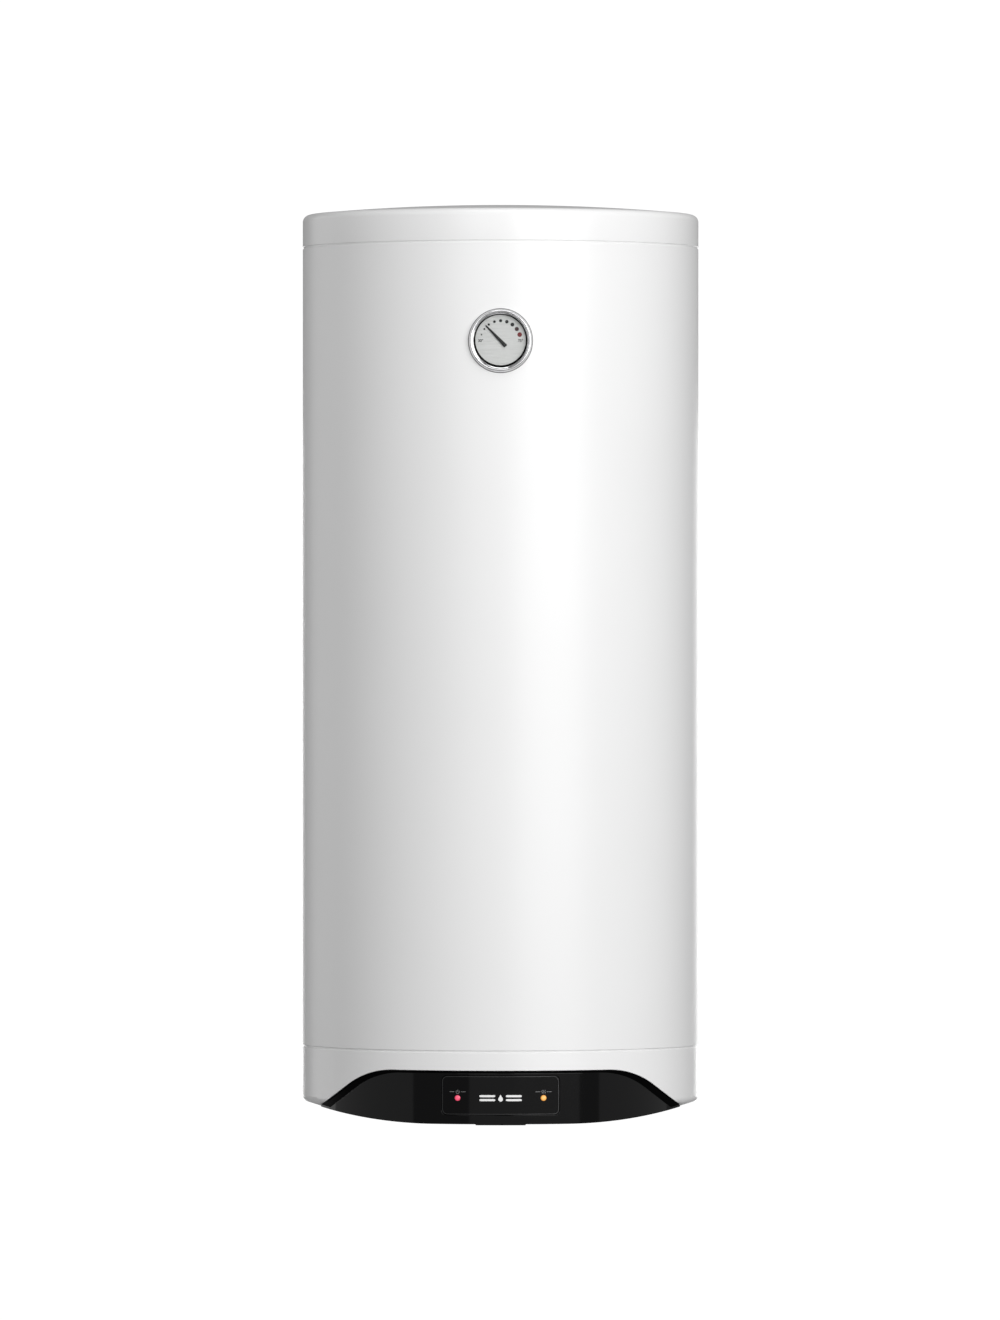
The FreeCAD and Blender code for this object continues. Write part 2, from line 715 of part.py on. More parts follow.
def thermostat_knob():
    """A round knob with finger flutes and a raised pointer rib underneath."""
    knob = post(KNOB_R, KNOB_BOTTOM + 1, KNOB_TOP, SPINDLE_X, POCKET_D)
    for i in range(FLUTES):
        turn = 2 * math.pi * i / FLUTES
        x = SPINDLE_X + (KNOB_R + FLUTE_R / 2) * math.cos(turn)
        d = POCKET_D + (KNOB_R + FLUTE_R / 2) * math.sin(turn)
        knob = knob.cut(post(FLUTE_R, KNOB_BOTTOM, KNOB_TOP, x, d))
    rib = block(SPINDLE_X - 1, SPINDLE_X + 1, POCKET_D, POCKET_D + KNOB_R - 2, KNOB_BOTTOM, KNOB_BOTTOM + 2)
    knob = knob.fuse(rib)
    return knob.cut(post(SPINDLE_R, SPINDLE_LOW, KNOB_TOP, SPINDLE_X, POCKET_D)).removeSplitter()


def reset_button():
    """The cut-out's reset: a stem through the thermostat's underside and a flange that the spring bears on."""
    stem = post(BUTTON_R, BUTTON_END, STAT_BOTTOM + 3, BUTTON_X, POCKET_D)
    flange = post(BUTTON_FLANGE_R, STAT_BOTTOM + 2.1, BUTTON_TOP, BUTTON_X, POCKET_D)
    return stem.fuse(flange).removeSplitter()


def reset_spring():
    height = SPRING_TOP - BUTTON_TOP - 2 * SPRING_WIRE - 0.2
    helix = Part.makeHelix(height / SPRING_TURNS, height, SPRING_R)
    section = Part.Wire(Part.makeCircle(SPRING_WIRE, Vec(SPRING_R, 0, 0), Vec(0, 1, 0)))
    spring = Part.Wire(helix).makePipeShell([section], True, True)
    spring.translate(at(BUTTON_X, POCKET_D, BUTTON_TOP + SPRING_WIRE + 0.1))
    return spring


# ---- wiring ----

def terminal_block():
    body = block(BLOCK_X0, BLOCK_X1, -BLOCK_HALF, BLOCK_HALF, BLOCK_LOW, PLATE_Z)
    for x in terminal_places():
        body = body.cut(post(2, BLOCK_LOW, BLOCK_LOW + 12, x, 0))
    return body


def terminal_places():
    middle = (BLOCK_X0 + BLOCK_X1) / 2
    return [middle - POLE_GAP, middle, middle + POLE_GAP]


def terminal_screws():
    solids = []
    for x in terminal_places():
        screw = post(2, BLOCK_LOW, BLOCK_LOW + 10, x, 0).fuse(post(3.5, BLOCK_LOW - 1.8, BLOCK_LOW, x, 0))
        solids.append(screw.removeSplitter())
    return solids


def earth_screw():
    return hexagon(2 * EARTH_H, PLATE_Z - EARTH_H, PLATE_Z, EARTH_X, EARTH_D)


def wire(*places):
    """An insulated wire: straight runs joined by tangent arcs."""
    points = [at(*p) for p in places]
    edges = []
    here = points[0]
    for before, corner, after in zip(points, points[1:], points[2:]):
        back = (before - corner).normalize()
        ahead = (after - corner).normalize()
        half = back.getAngle(ahead) / 2
        reach = WIRE_BEND / math.tan(half)
        middle_way = (back + ahead).normalize()
        start = corner + back * reach
        end = corner + ahead * reach
        middle = corner + middle_way * (WIRE_BEND / math.sin(half) - WIRE_BEND)
        edges.append(Part.makeLine(here, start))
        edges.append(Part.Arc(start, middle, end).toShape())
        here = end
    edges.append(Part.makeLine(here, points[-1]))
    section = Part.Wire(Part.makeCircle(WIRE_R, points[0], points[1] - points[0]))
    return Part.Wire(edges).makePipeShell([section], True, True)


def wires():
    """Supply, heater, lamp and earth wires, each square to the faces that it meets."""
    tip = TERMINAL_END
    low = TERMINAL_END - 18
    side = STAT_HALF
    front = STAT_NEAR
    earth = (EARTH_X, EARTH_D, PLATE_Z - EARTH_H)

    def foot(way):
        return (way * ELEMENT_X, ELEMENT_D, low)

    runs = [
        [(BLOCK_X0, -8, -434), (72, -8, -434), (58, ELEMENT_D, low), foot(1), (ELEMENT_X, ELEMENT_D, tip)],
        [(BLOCK_X0, 0, -440), (72, 0, -440), (48, 8, -452), (side, 8, -452)],
        [(-side, 8, -450), (-44, 8, -450), (-52, -6, low), foot(-1), (-ELEMENT_X, ELEMENT_D, tip)],
        [(BLOCK_X0, 8, -436), (EARTH_X, 8, -436), (EARTH_X, EARTH_D, -446), earth],
    ]
    for x in (-10, 10):
        runs.append([(x, front, -448), (x, 70, -452), (3 * x, 130, -478), (3 * x, BOARD_DEPTH, -478)])
    return [wire(*run) for run in runs]


# ---- pipes ----

def nipple(x):
    """A pipe stub whose lower end carries a half-inch thread, drawn at its major diameter."""
    stub = pipe(NIPPLE_R, PIPE_BORE, PIPE_END, NIPPLE_TOP, x, PIPE_D)
    return stub.fuse(pipe(THREAD_R, PIPE_BORE, PIPE_END, PIPE_END + THREAD_L, x, PIPE_D)).removeSplitter()


def diffuser(x):
    """A capped tube with four side slots that spreads the cold water low in the vessel."""
    top = NIPPLE_TOP + 34
    cap = post(NIPPLE_R + 3, NIPPLE_TOP, top, x, PIPE_D)
    cap = cap.cut(post(NIPPLE_R + 1, NIPPLE_TOP, top - 2, x, PIPE_D))
    low = NIPPLE_TOP + 12
    r = NIPPLE_R + 5
    cap = cap.cut(block(x - r, x + r, PIPE_D - 4, PIPE_D + 4, low, low + 14))
    cap = cap.cut(block(x - 4, x + 4, PIPE_D - r, PIPE_D + r, low, low + 14))
    foot = pipe(NIPPLE_R + 2, PIPE_BORE, NIPPLE_TOP, NIPPLE_TOP + 2, x, PIPE_D)
    return cap.fuse(foot).removeSplitter()


def colour_ring(x):
    return pipe(NIPPLE_R + 6, NIPPLE_R, BAY_CEILING - 2.5, BAY_CEILING, x, PIPE_D)


def sleeves():
    return [pipe(PIPE_BORE, SLEEVE_IN, PIPE_END, PIPE_END + SLEEVE_L, x, PIPE_D) for x in (-PIPE_X, PIPE_X)]


def cable_gland():
    """Hexagonal body with a round clamping cap below and a threaded shank above."""
    waist = BAY_CEILING - 10
    body = hexagon(GLAND_AF, waist, BAY_CEILING, 0, GLAND_D)
    body = body.fuse(post(GLAND_AF / 2 - 1, GLAND_END, waist, 0, GLAND_D))
    body = body.fuse(post(GLAND_THREAD_R, BAY_CEILING, GLAND_TOP, 0, GLAND_D))
    return body.cut(post(GLAND_BORE, GLAND_END, GLAND_TOP, 0, GLAND_D)).removeSplitter()


def gland_nut():
    low = BAY_CEILING + FLOOR_T
    return hexagon(GLAND_AF, low, low + 5, 0, GLAND_D).cut(post(GLAND_THREAD_R, low, low + 5, 0, GLAND_D))


# ---- thermometer ----

def thermometer_case():
    back = rod(CUP_R, CUP_BACK, CUP_BACK + 1, 0, DIAL_Z)
    cup = ring(CUP_R, CUP_IN, CUP_BACK, CUP_FRONT, 0, DIAL_Z).fuse(back)
    cup = cup.cut(rod(STEM_R, CUP_BACK, CUP_BACK + 1, 0, DIAL_Z))
    return cup.fuse(rod(1.5, CUP_BACK + 1, DIAL_BACK, coil_reach() + 2.2, DIAL_Z)).removeSplitter()


def thermometer_bezel():
    """A rounded metal ring over the edge of the glass, seated on the curve of the jacket."""
    lip = BEZEL_FRONT - CUP_FRONT
    shape = Outline(BEZEL_R, CASE_R - 4)
    shape.arc(BEZEL_R - lip, CUP_FRONT, lip, 0, 90)
    shape.line(BEZEL_IN, CUP_FRONT + 0.8).line(BEZEL_IN, CUP_FRONT).line(CUP_R, CUP_FRONT)
    shape.line(CUP_R, CASE_R - 4)
    return shape.dial_turned().cut(post(CASE_R, DIAL_Z - 50, DIAL_Z + 50))


def thermometer_pointer():
    """A flat tapered needle with a blunt tail, at rest to the left of upright."""
    tip = POINTER_TIP_W / 2
    tail = POINTER_TAIL_W / 2
    shape = Outline(tail, -POINTER_TAIL + tail)
    shape.line(tip, POINTER_LENGTH - tip)
    shape.arc(0, POINTER_LENGTH - tip, tip, 0, 180)
    shape.line(-tail, -POINTER_TAIL + tail)
    shape.arc(0, -POINTER_TAIL + tail, tail, 180, 360)
    needle = shape.prism(POINTER_BACK, POINTER_BACK + POINTER_T)
    needle.rotate(at(0, 0, 0), Vec(0, 1, 0), -POINTER_REST)
    needle.translate(Vec(0, 0, DIAL_Z))
    return needle


def thermometer_stem():
    """A brass probe that touches the vessel and holds the arbor's rear bearing."""
    stem = rod(STEM_R, TANK_R - 10, CUP_BACK + 2, 0, DIAL_Z).cut(post(TANK_R, DIAL_Z - 20, DIAL_Z + 20))
    return stem.cut(rod(ARBOR_R + RUNNING, CUP_BACK - 4, CUP_BACK + 2, 0, DIAL_Z))


def coil_reach():
    return COIL_R + COIL_PITCH * COIL_HALF_TURNS / 2


def bimetal_coil():
    """A flat spiral strip built from half circles, each a half pitch larger than the last."""
    thick = 0.4
    halves = []
    for side in (0, thick):
        edges = []
        x = COIL_R + side
        for i in range(COIL_HALF_TURNS):
            way = 1 if i % 2 == 0 else -1
            r = COIL_R + COIL_PITCH * (i + 0.5) / 2 + side
            start = x
            end = start - way * 2 * r
            middle = at((start + end) / 2, 0, way * r)
            edges.append(Part.Arc(at(start, 0, 0), middle, at(end, 0, 0)).toShape())
            x = end
        halves.append((edges, x))
    (inner, inner_end), (outer, outer_end) = halves
    closing = [
        Part.makeLine(at(COIL_R, 0, 0), at(COIL_R + thick, 0, 0)),
        Part.makeLine(at(inner_end, 0, 0), at(outer_end, 0, 0)),
    ]
    loop = Part.Wire(Part.__sortEdges__(inner + outer + closing))
    strip = Part.Face(loop).extrude(Vec(0, -4, 0))
    strip.translate(Vec(0, -(CUP_BACK + 4), DIAL_Z))
    return strip


# ---- wall brackets ----

def wall_bracket(z):
    """A bent strap: a wall plate, two webs and two pads curved to the jacket."""
    low = z - BRACKET_H / 2
    high = z + BRACKET_H / 2
    strap = Part.makeBox(2 * BRACKET_HALF, BRACKET_T, BRACKET_H, Vec(-BRACKET_HALF, -BRACKET_T, low))
    pad_start = math.degrees(math.asin((WEB_X - BRACKET_T / 2) / CASE_R))
    for side in (-1, 1):
        web = Part.makeBox(BRACKET_T, 40, BRACKET_H, Vec(side * WEB_X - BRACKET_T / 2, -40, low))
        middle = side * (pad_start + PAD_END) / 2
        pad = sector(CASE_R + BRACKET_T, CASE_R, low, high, middle, PAD_END - pad_start)
        strap = strap.fuse(web.cut(post(CASE_R, low, high))).fuse(pad)
        strap = strap.cut(spoke(STUD_R + 0.25, CASE_R - 10, CASE_R + 10, side * PAD_BOLT, z))
        hole = Part.makeCylinder(BOLT_HOLE_R, 10, Vec(side * BOLT_X, -5, z), Vec(0, 1, 0))
        strap = strap.cut(hole)
    return strap.removeSplitter()


def bracket_bolts():
    """Hexagon screws through the pads and the jacket into the bosses."""
    solids = []
    seat = CASE_R + BRACKET_T
    for z in (-BOLT_Z, BOLT_Z):
        for angle in (-PAD_BOLT, PAD_BOLT):
            turn = math.radians(angle)
            way = Vec(math.sin(turn), math.cos(turn), 0)
            head = hexagon(NUT_AF, 0, HEAD_H, 0, AXIS_Y)
            head.Placement = FreeCAD.Placement(at(0, 0, z) + way * seat, FreeCAD.Rotation(Vec(0, 0, 1), way))
            solids.append(spoke(STUD_R, TANK_R + 10, seat, angle, z).fuse(head))
    return solids


def save_casing():
    save("jacket", jacket())
    save("top_cover", top_cover())
    save("bottom_cover", bottom_cover())
    save("underside_panel", underside_panel())
    save("pipe_tray", pipe_tray())
    save("base_plate", base_plate())
    save("cover_screws", *cover_screws())
    save("foam_insulation", foam())
    save("wall_bracket_upper", wall_bracket(BOLT_Z))
    save("wall_bracket_lower", wall_bracket(-BOLT_Z))
    save("bracket_bolts", *bracket_bolts())


def save_fascia():
    save("fascia", fascia())
    save("indicator_window", indicator_window())
    save("red_lamp_lens", lens(-LAMP_X))
    save("amber_lamp_lens", lens(LAMP_X))
    save("lamps", *lamps())
    save("indicator_board", indicator_board())


def save_vessel():
    studs = around(STUD_COUNT, STUD_PCD)
    save("tank_shell", pipe(TANK_R, TANK_R - TANK_T, SHELL_BOTTOM, SHELL_TOP))
    save("tank_top_dome", dome_outline(SHELL_TOP, 1, TANK_T).turned())
    save("tank_bottom_dome", tank_bottom_dome())
    save("bracket_bosses", *bosses())
    save("flange_neck", flange_neck())
    save("flange_studs", *[post(STUD_R, STUD_END, GASKET_TOP, x, d) for x, d in studs])
    save("flange_gasket", pipe(NECK_R + 3, NECK_IN, FLANGE_TOP, GASKET_TOP))
    save("flange_plate", flange_plate())
    save("flange_nuts", *[nut(x, d) for x, d in studs])
    save("anode", anode())
    save("anode_nut", nut(0, ANODE_D))
    save("hot_outlet_nipple", nipple(-PIPE_X))
    save("cold_inlet_nipple", nipple(PIPE_X))
    save("hot_outlet_pipe", pipe(OUTLET_R, PIPE_BORE, NIPPLE_TOP, OUTLET_TOP, -PIPE_X, PIPE_D))
    save("cold_inlet_diffuser", diffuser(PIPE_X))
    save("pipe_liners", *sleeves())
    save("hot_colour_ring", colour_ring(-PIPE_X))
    save("cold_colour_ring", colour_ring(PIPE_X))


def save_electrics():
    legs = (-ELEMENT_X, ELEMENT_X)
    wells = (-POCKET_X, POCKET_X)
    save("heating_element", heating_element())
    save("element_terminals", *[post(2, TERMINAL_END, ELEMENT_END, x, ELEMENT_D) for x in legs])
    save("sensor_pockets", *pockets())
    save("thermostat_body", thermostat_body())
    save("thermostat_rods", *[post(3, STAT_TOP, POCKET_TOP - 10, x, POCKET_D) for x in wells])
    save("thermostat_spindle", post(SPINDLE_R, SPINDLE_LOW, STAT_BOTTOM + 12, SPINDLE_X, POCKET_D))
    save("thermostat_knob", thermostat_knob())
    save("reset_button", reset_button())
    save("reset_spring", reset_spring())
    save("terminal_block", terminal_block())
    save("terminal_screws", *terminal_screws())
    save("earth_screw", earth_screw())
    save("internal_wires", *wires())
    save("cable_gland", cable_gland())
    save("cable_gland_nut", gland_nut())


def save_thermometer():
    save("thermometer_case", thermometer_case())
    save("thermometer_bezel", thermometer_bezel())
    save("thermometer_glass", rod(CUP_IN, CUP_FRONT - 1.8, CUP_FRONT, 0, DIAL_Z))
    save("thermometer_dial", ring(CUP_IN, ARBOR_R + 0.5, DIAL_BACK, DIAL_BACK + DIAL_T, 0, DIAL_Z))
    save("thermometer_pointer", thermometer_pointer())
    save("thermometer_arbor", rod(ARBOR_R, CUP_BACK - 3.5, POINTER_BACK, 0, DIAL_Z))
    save("thermometer_stem", thermometer_stem())
    save("bimetal_coil", bimetal_coil())


def main():
    os.makedirs("parts", exist_ok=True)
    save_casing()
    save_fascia()
    save_vessel()
    save_electrics()
    save_thermometer()


main()
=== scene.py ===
"""The water heater's looks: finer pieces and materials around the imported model, a studio and a camera.

Metres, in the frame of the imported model: +Z up, the front faces -Y, the wall is the plane Y = 0.
"""

import math

import bmesh
import bpy
from mathutils import Matrix, Vector


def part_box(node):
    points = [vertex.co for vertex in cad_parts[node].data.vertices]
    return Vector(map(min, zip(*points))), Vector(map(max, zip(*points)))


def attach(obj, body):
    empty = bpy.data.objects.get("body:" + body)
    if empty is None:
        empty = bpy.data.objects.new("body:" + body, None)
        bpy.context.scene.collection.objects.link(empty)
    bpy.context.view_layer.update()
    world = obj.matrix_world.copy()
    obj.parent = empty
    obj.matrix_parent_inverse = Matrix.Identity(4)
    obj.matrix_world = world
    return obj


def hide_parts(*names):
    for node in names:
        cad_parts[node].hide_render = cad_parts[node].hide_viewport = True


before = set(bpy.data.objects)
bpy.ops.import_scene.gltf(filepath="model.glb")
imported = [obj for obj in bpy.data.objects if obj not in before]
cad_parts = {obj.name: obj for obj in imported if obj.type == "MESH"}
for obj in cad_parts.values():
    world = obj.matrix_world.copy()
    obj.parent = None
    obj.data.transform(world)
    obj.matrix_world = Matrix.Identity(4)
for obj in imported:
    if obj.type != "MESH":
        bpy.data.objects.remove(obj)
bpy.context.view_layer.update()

MM = 0.001
TURN = 2 * math.pi
UP = Vector((0, 0, 1))
FRONT = Vector((0, -1, 0))


def node_box(name):
    low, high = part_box(name)
    return Vector(low), Vector(high)


def middle(name):
    low, high = node_box(name)
    return (low + high) / 2


JACKET_LOW, JACKET_HIGH = node_box("jacket")
LID_LOW, LID_HIGH = node_box("top_cover")
CASE_R = (LID_HIGH.x - LID_LOW.x) / 2
AXIS = Vector((0, LID_LOW.y + CASE_R, 0))
DIAL_FACE = node_box("thermometer_dial")[0].y
DIAL = Vector((0, DIAL_FACE, middle("thermometer_dial").z))
WINDOW_LOW, WINDOW_HIGH = node_box("indicator_window")
WINDOW_R = AXIS.y - WINDOW_LOW.y
PANEL_LOW = node_box("underside_panel")[0].z


# ---- camera and lights ----

CAMERA_REACH = 12.284
CAMERA_LENS = 294.5
SENSOR = 36
LONG_SIDE = 1320
SHIFT_X = -0.59 / LONG_SIDE
SHIFT_Y = 3 / LONG_SIDE
FAR_CLIP = 60


def make_camera():
    """A level long lens in front of the heater, as high as its middle."""
    data = bpy.data.cameras.new("camera")
    data.lens = CAMERA_LENS
    data.sensor_width = SENSOR
    data.shift_x = SHIFT_X
    data.shift_y = SHIFT_Y
    data.clip_end = FAR_CLIP
    camera = bpy.data.objects.new("camera", data)
    camera.location = (0, AXIS.y - CAMERA_REACH, 0)
    camera.rotation_euler = (math.pi / 2, 0, 0)
    bpy.context.scene.collection.objects.link(camera)
    bpy.context.scene.camera = camera


def softbox(name, azimuth, height, reach, size, radiance, aim_z=0.0):
    """An area light of an even radiance, aimed at the heater's axis.

    Azimuth 0 is in front and 90 on the right."""
    data = bpy.data.lights.new(name, "AREA")
    data.shape = "RECTANGLE"
    data.size, data.size_y = size
    data.energy = radiance * math.pi * size[0] * size[1]
    lamp = bpy.data.objects.new(name, data)
    side = math.radians(azimuth)
    lamp.location = Vector((AXIS.x + math.sin(side) * reach, AXIS.y - math.cos(side) * reach, height))
    way = Vector((AXIS.x, AXIS.y, aim_z)) - lamp.location
    lamp.rotation_euler = way.to_track_quat("-Z", "Y").to_euler()
    lamp.visible_camera = False
    bpy.context.scene.collection.objects.link(lamp)


AMBIENT = 0.22
PAPER_WHITE = 1.05


def make_studio():
    """White surroundings that light the heater softly, a large key on the right and weak fills."""
    scene = bpy.context.scene
    scene.view_settings.view_transform = "Standard"
    scene.view_settings.look = "None"
    world = bpy.data.worlds.new("studio")
    scene.world = world
    world.use_nodes = True
    nodes, links = world.node_tree.nodes, world.node_tree.links
    room = nodes["Background"]
    room.inputs["Color"].default_value = (1, 1, 1, 1)
    room.inputs["Strength"].default_value = AMBIENT
    paper = nodes.new("ShaderNodeBackground")
    paper.inputs["Color"].default_value = (1, 1, 1, 1)
    paper.inputs["Strength"].default_value = PAPER_WHITE
    path = nodes.new("ShaderNodeLightPath")
    mix = nodes.new("ShaderNodeMixShader")
    links.new(path.outputs["Is Camera Ray"], mix.inputs["Fac"])
    links.new(room.outputs[0], mix.inputs[1])
    links.new(paper.outputs[0], mix.inputs[2])
    links.new(mix.outputs[0], nodes["World Output"].inputs["Surface"])
    softbox("key_softbox", 28, 0.92, 4.0, (3.0, 2.8), 4.6)
    softbox("front_softbox", -14, 1.2, 4.0, (1.6, 2.2), 1.9, 0.2)
    softbox("left_panel", -80, 0.0, 3.0, (3.4, 2.6), 0.32)
    softbox("right_panel", 84, 0.0, 3.0, (3.0, 2.6), 0.30)
    softbox("rear_left_softbox", -124, 0.2, 3.0, (1.6, 2.6), 1.0)
    softbox("rear_softbox", 176, -0.25, 3.5, (2.6, 1.2), 2.8, -0.1)
    softbox("under_softbox", 20, -3.0, 0.8, (2.0, 2.0), 0.8, -0.5)
    softbox("low_panel", 14, -1.0, 4.0, (5.0, 1.5), 0.30, -0.4)
    softbox("top_softbox", 8, 2.6, 1.2, (1.6, 1.6), 2.4, 0.5)


# ---- node materials ----

def new_material(name):
    mat = bpy.data.materials.new(name)
    mat.use_nodes = True
    return mat, mat.node_tree.nodes, mat.node_tree.links, mat.node_tree.nodes["Principled BSDF"]


def set_sockets(shader, **values):
    """Sets a shader's own sockets, with _ for the spaces in their names."""
    for key, value in values.items():
        shader.inputs[key.replace("_", " ")].default_value = value


def noise(nodes, links, scale, detail=4.0, stretch=(1, 1, 1)):
    """Noise over the object's own coordinates, which may be stretched along an axis."""
    where = nodes.new("ShaderNodeTexCoord")
    mapping = nodes.new("ShaderNodeMapping")
    mapping.inputs["Scale"].default_value = stretch
    links.new(where.outputs["Object"], mapping.inputs["Vector"])
    texture = nodes.new("ShaderNodeTexNoise")
    texture.inputs["Scale"].default_value = scale
    texture.inputs["Detail"].default_value = detail
    links.new(mapping.outputs["Vector"], texture.inputs["Vector"])
    return texture.outputs[0]


def spread(nodes, links, source, low, high, target):
    """Maps a 0..1 texture to a number between low and high on a socket."""
    scale = nodes.new("ShaderNodeMapRange")
    scale.inputs["To Min"].default_value = low
    scale.inputs["To Max"].default_value = high
    links.new(source, scale.inputs["Value"])
    links.new(scale.outputs["Result"], target)


def tint(nodes, links, source, low, high, target, start=0.3, end=0.7):
    """Mixes two colours by a texture."""
    ramp = nodes.new("ShaderNodeValToRGB")
    stops = ramp.color_ramp.elements
    stops[0].position, stops[1].position = start, end
    stops[0].color, stops[1].color = (*low, 1), (*high, 1)
    links.new(source, ramp.inputs["Fac"])
    links.new(ramp.outputs["Color"], target)


def bump(nodes, links, source, shader, depth, strength=1.0):
    node = nodes.new("ShaderNodeBump")
    node.inputs["Strength"].default_value = strength
    node.inputs["Distance"].default_value = depth
    links.new(source, node.inputs["Height"])
    links.new(node.outputs["Normal"], shader.inputs["Normal"])


MIRROR_ROUGH = 0.02


def shade(colour, share):
    return tuple(c * share for c in colour)


def finish_of(name, colour, rough, vary=0.04, grain=300.0, depth=0.02 * MM, change=0.94, **sockets):
    """A surface whose colour drifts slightly, whose gloss varies and whose fine grain is in the bump."""
    mat, nodes, links, shader = new_material(name)
    tint(nodes, links, noise(nodes, links, 6.0), shade(colour, change), colour, shader.inputs["Base Color"])
    low, high = max(rough - vary, MIRROR_ROUGH), rough + vary
    spread(nodes, links, noise(nodes, links, 60.0), low, high, shader.inputs["Roughness"])
    bump(nodes, links, noise(nodes, links, grain, 2.0), shader, depth)
    set_sockets(shader, **sockets)
    return mat


WHITE = (0.80, 0.80, 0.80)
BLACK = (0.0022, 0.0022, 0.0024)


def glowing(name, colour, core):
    """A small diffusing lens: bright in its middle and deeper coloured towards its rim."""
    mat, nodes, links, shader = new_material(name)
    drift = noise(nodes, links, 900.0)
    tint(nodes, links, drift, shade(colour, 0.8), colour, shader.inputs["Base Color"])
    place = nodes.new("ShaderNodeTexCoord")
    across = nodes.new("ShaderNodeVectorMath")
    across.operation = "MULTIPLY_ADD"
    across.inputs[1].default_value = (1, 0, 1)
    across.inputs[2].default_value = (-0.5, 0, -0.5)
    reach = nodes.new("ShaderNodeVectorMath")
    reach.operation = "LENGTH"
    links.new(place.outputs["Generated"], across.inputs[0])
    links.new(across.outputs["Vector"], reach.inputs[0])
    edge = shade(colour, 0.7)
    tint(nodes, links, reach.outputs["Value"], core, edge, shader.inputs["Emission Color"], 0.15, 0.48)
    spread(nodes, links, noise(nodes, links, 400.0), 0.2, 0.3, shader.inputs["Roughness"])
    set_sockets(shader, Emission_Strength=0.6)
    return mat


def clear_glass():
    """Thin float glass over the dial, seen mostly by its reflections and a trace of dust."""
    mat, nodes, links, shader = new_material("clear_glass")
    clean, dusty = (0.02, 0.025, 0.025), (0.05, 0.05, 0.05)
    tint(nodes, links, noise(nodes, links, 20.0), clean, dusty, shader.inputs["Base Color"])
    spread(nodes, links, noise(nodes, links, 60.0), MIRROR_ROUGH, 0.06, shader.inputs["Roughness"])
    set_sockets(shader, Alpha=0.06, IOR=1.5)
    return mat


def brushed_dial():
    """Silver lacquer on the dial plate, with fine brushing along one direction."""
    mat, nodes, links, shader = new_material("dial_silver")
    strokes = noise(nodes, links, 500.0, 3.0, (0.12, 1, 1.6))
    tint(nodes, links, strokes, (0.58, 0.59, 0.58), (0.67, 0.68, 0.67), shader.inputs["Base Color"])
    spread(nodes, links, noise(nodes, links, 120.0), 0.36, 0.5, shader.inputs["Roughness"])
    bump(nodes, links, strokes, shader, 0.02 * MM)
    set_sockets(shader, Metallic=0.25)
    return mat


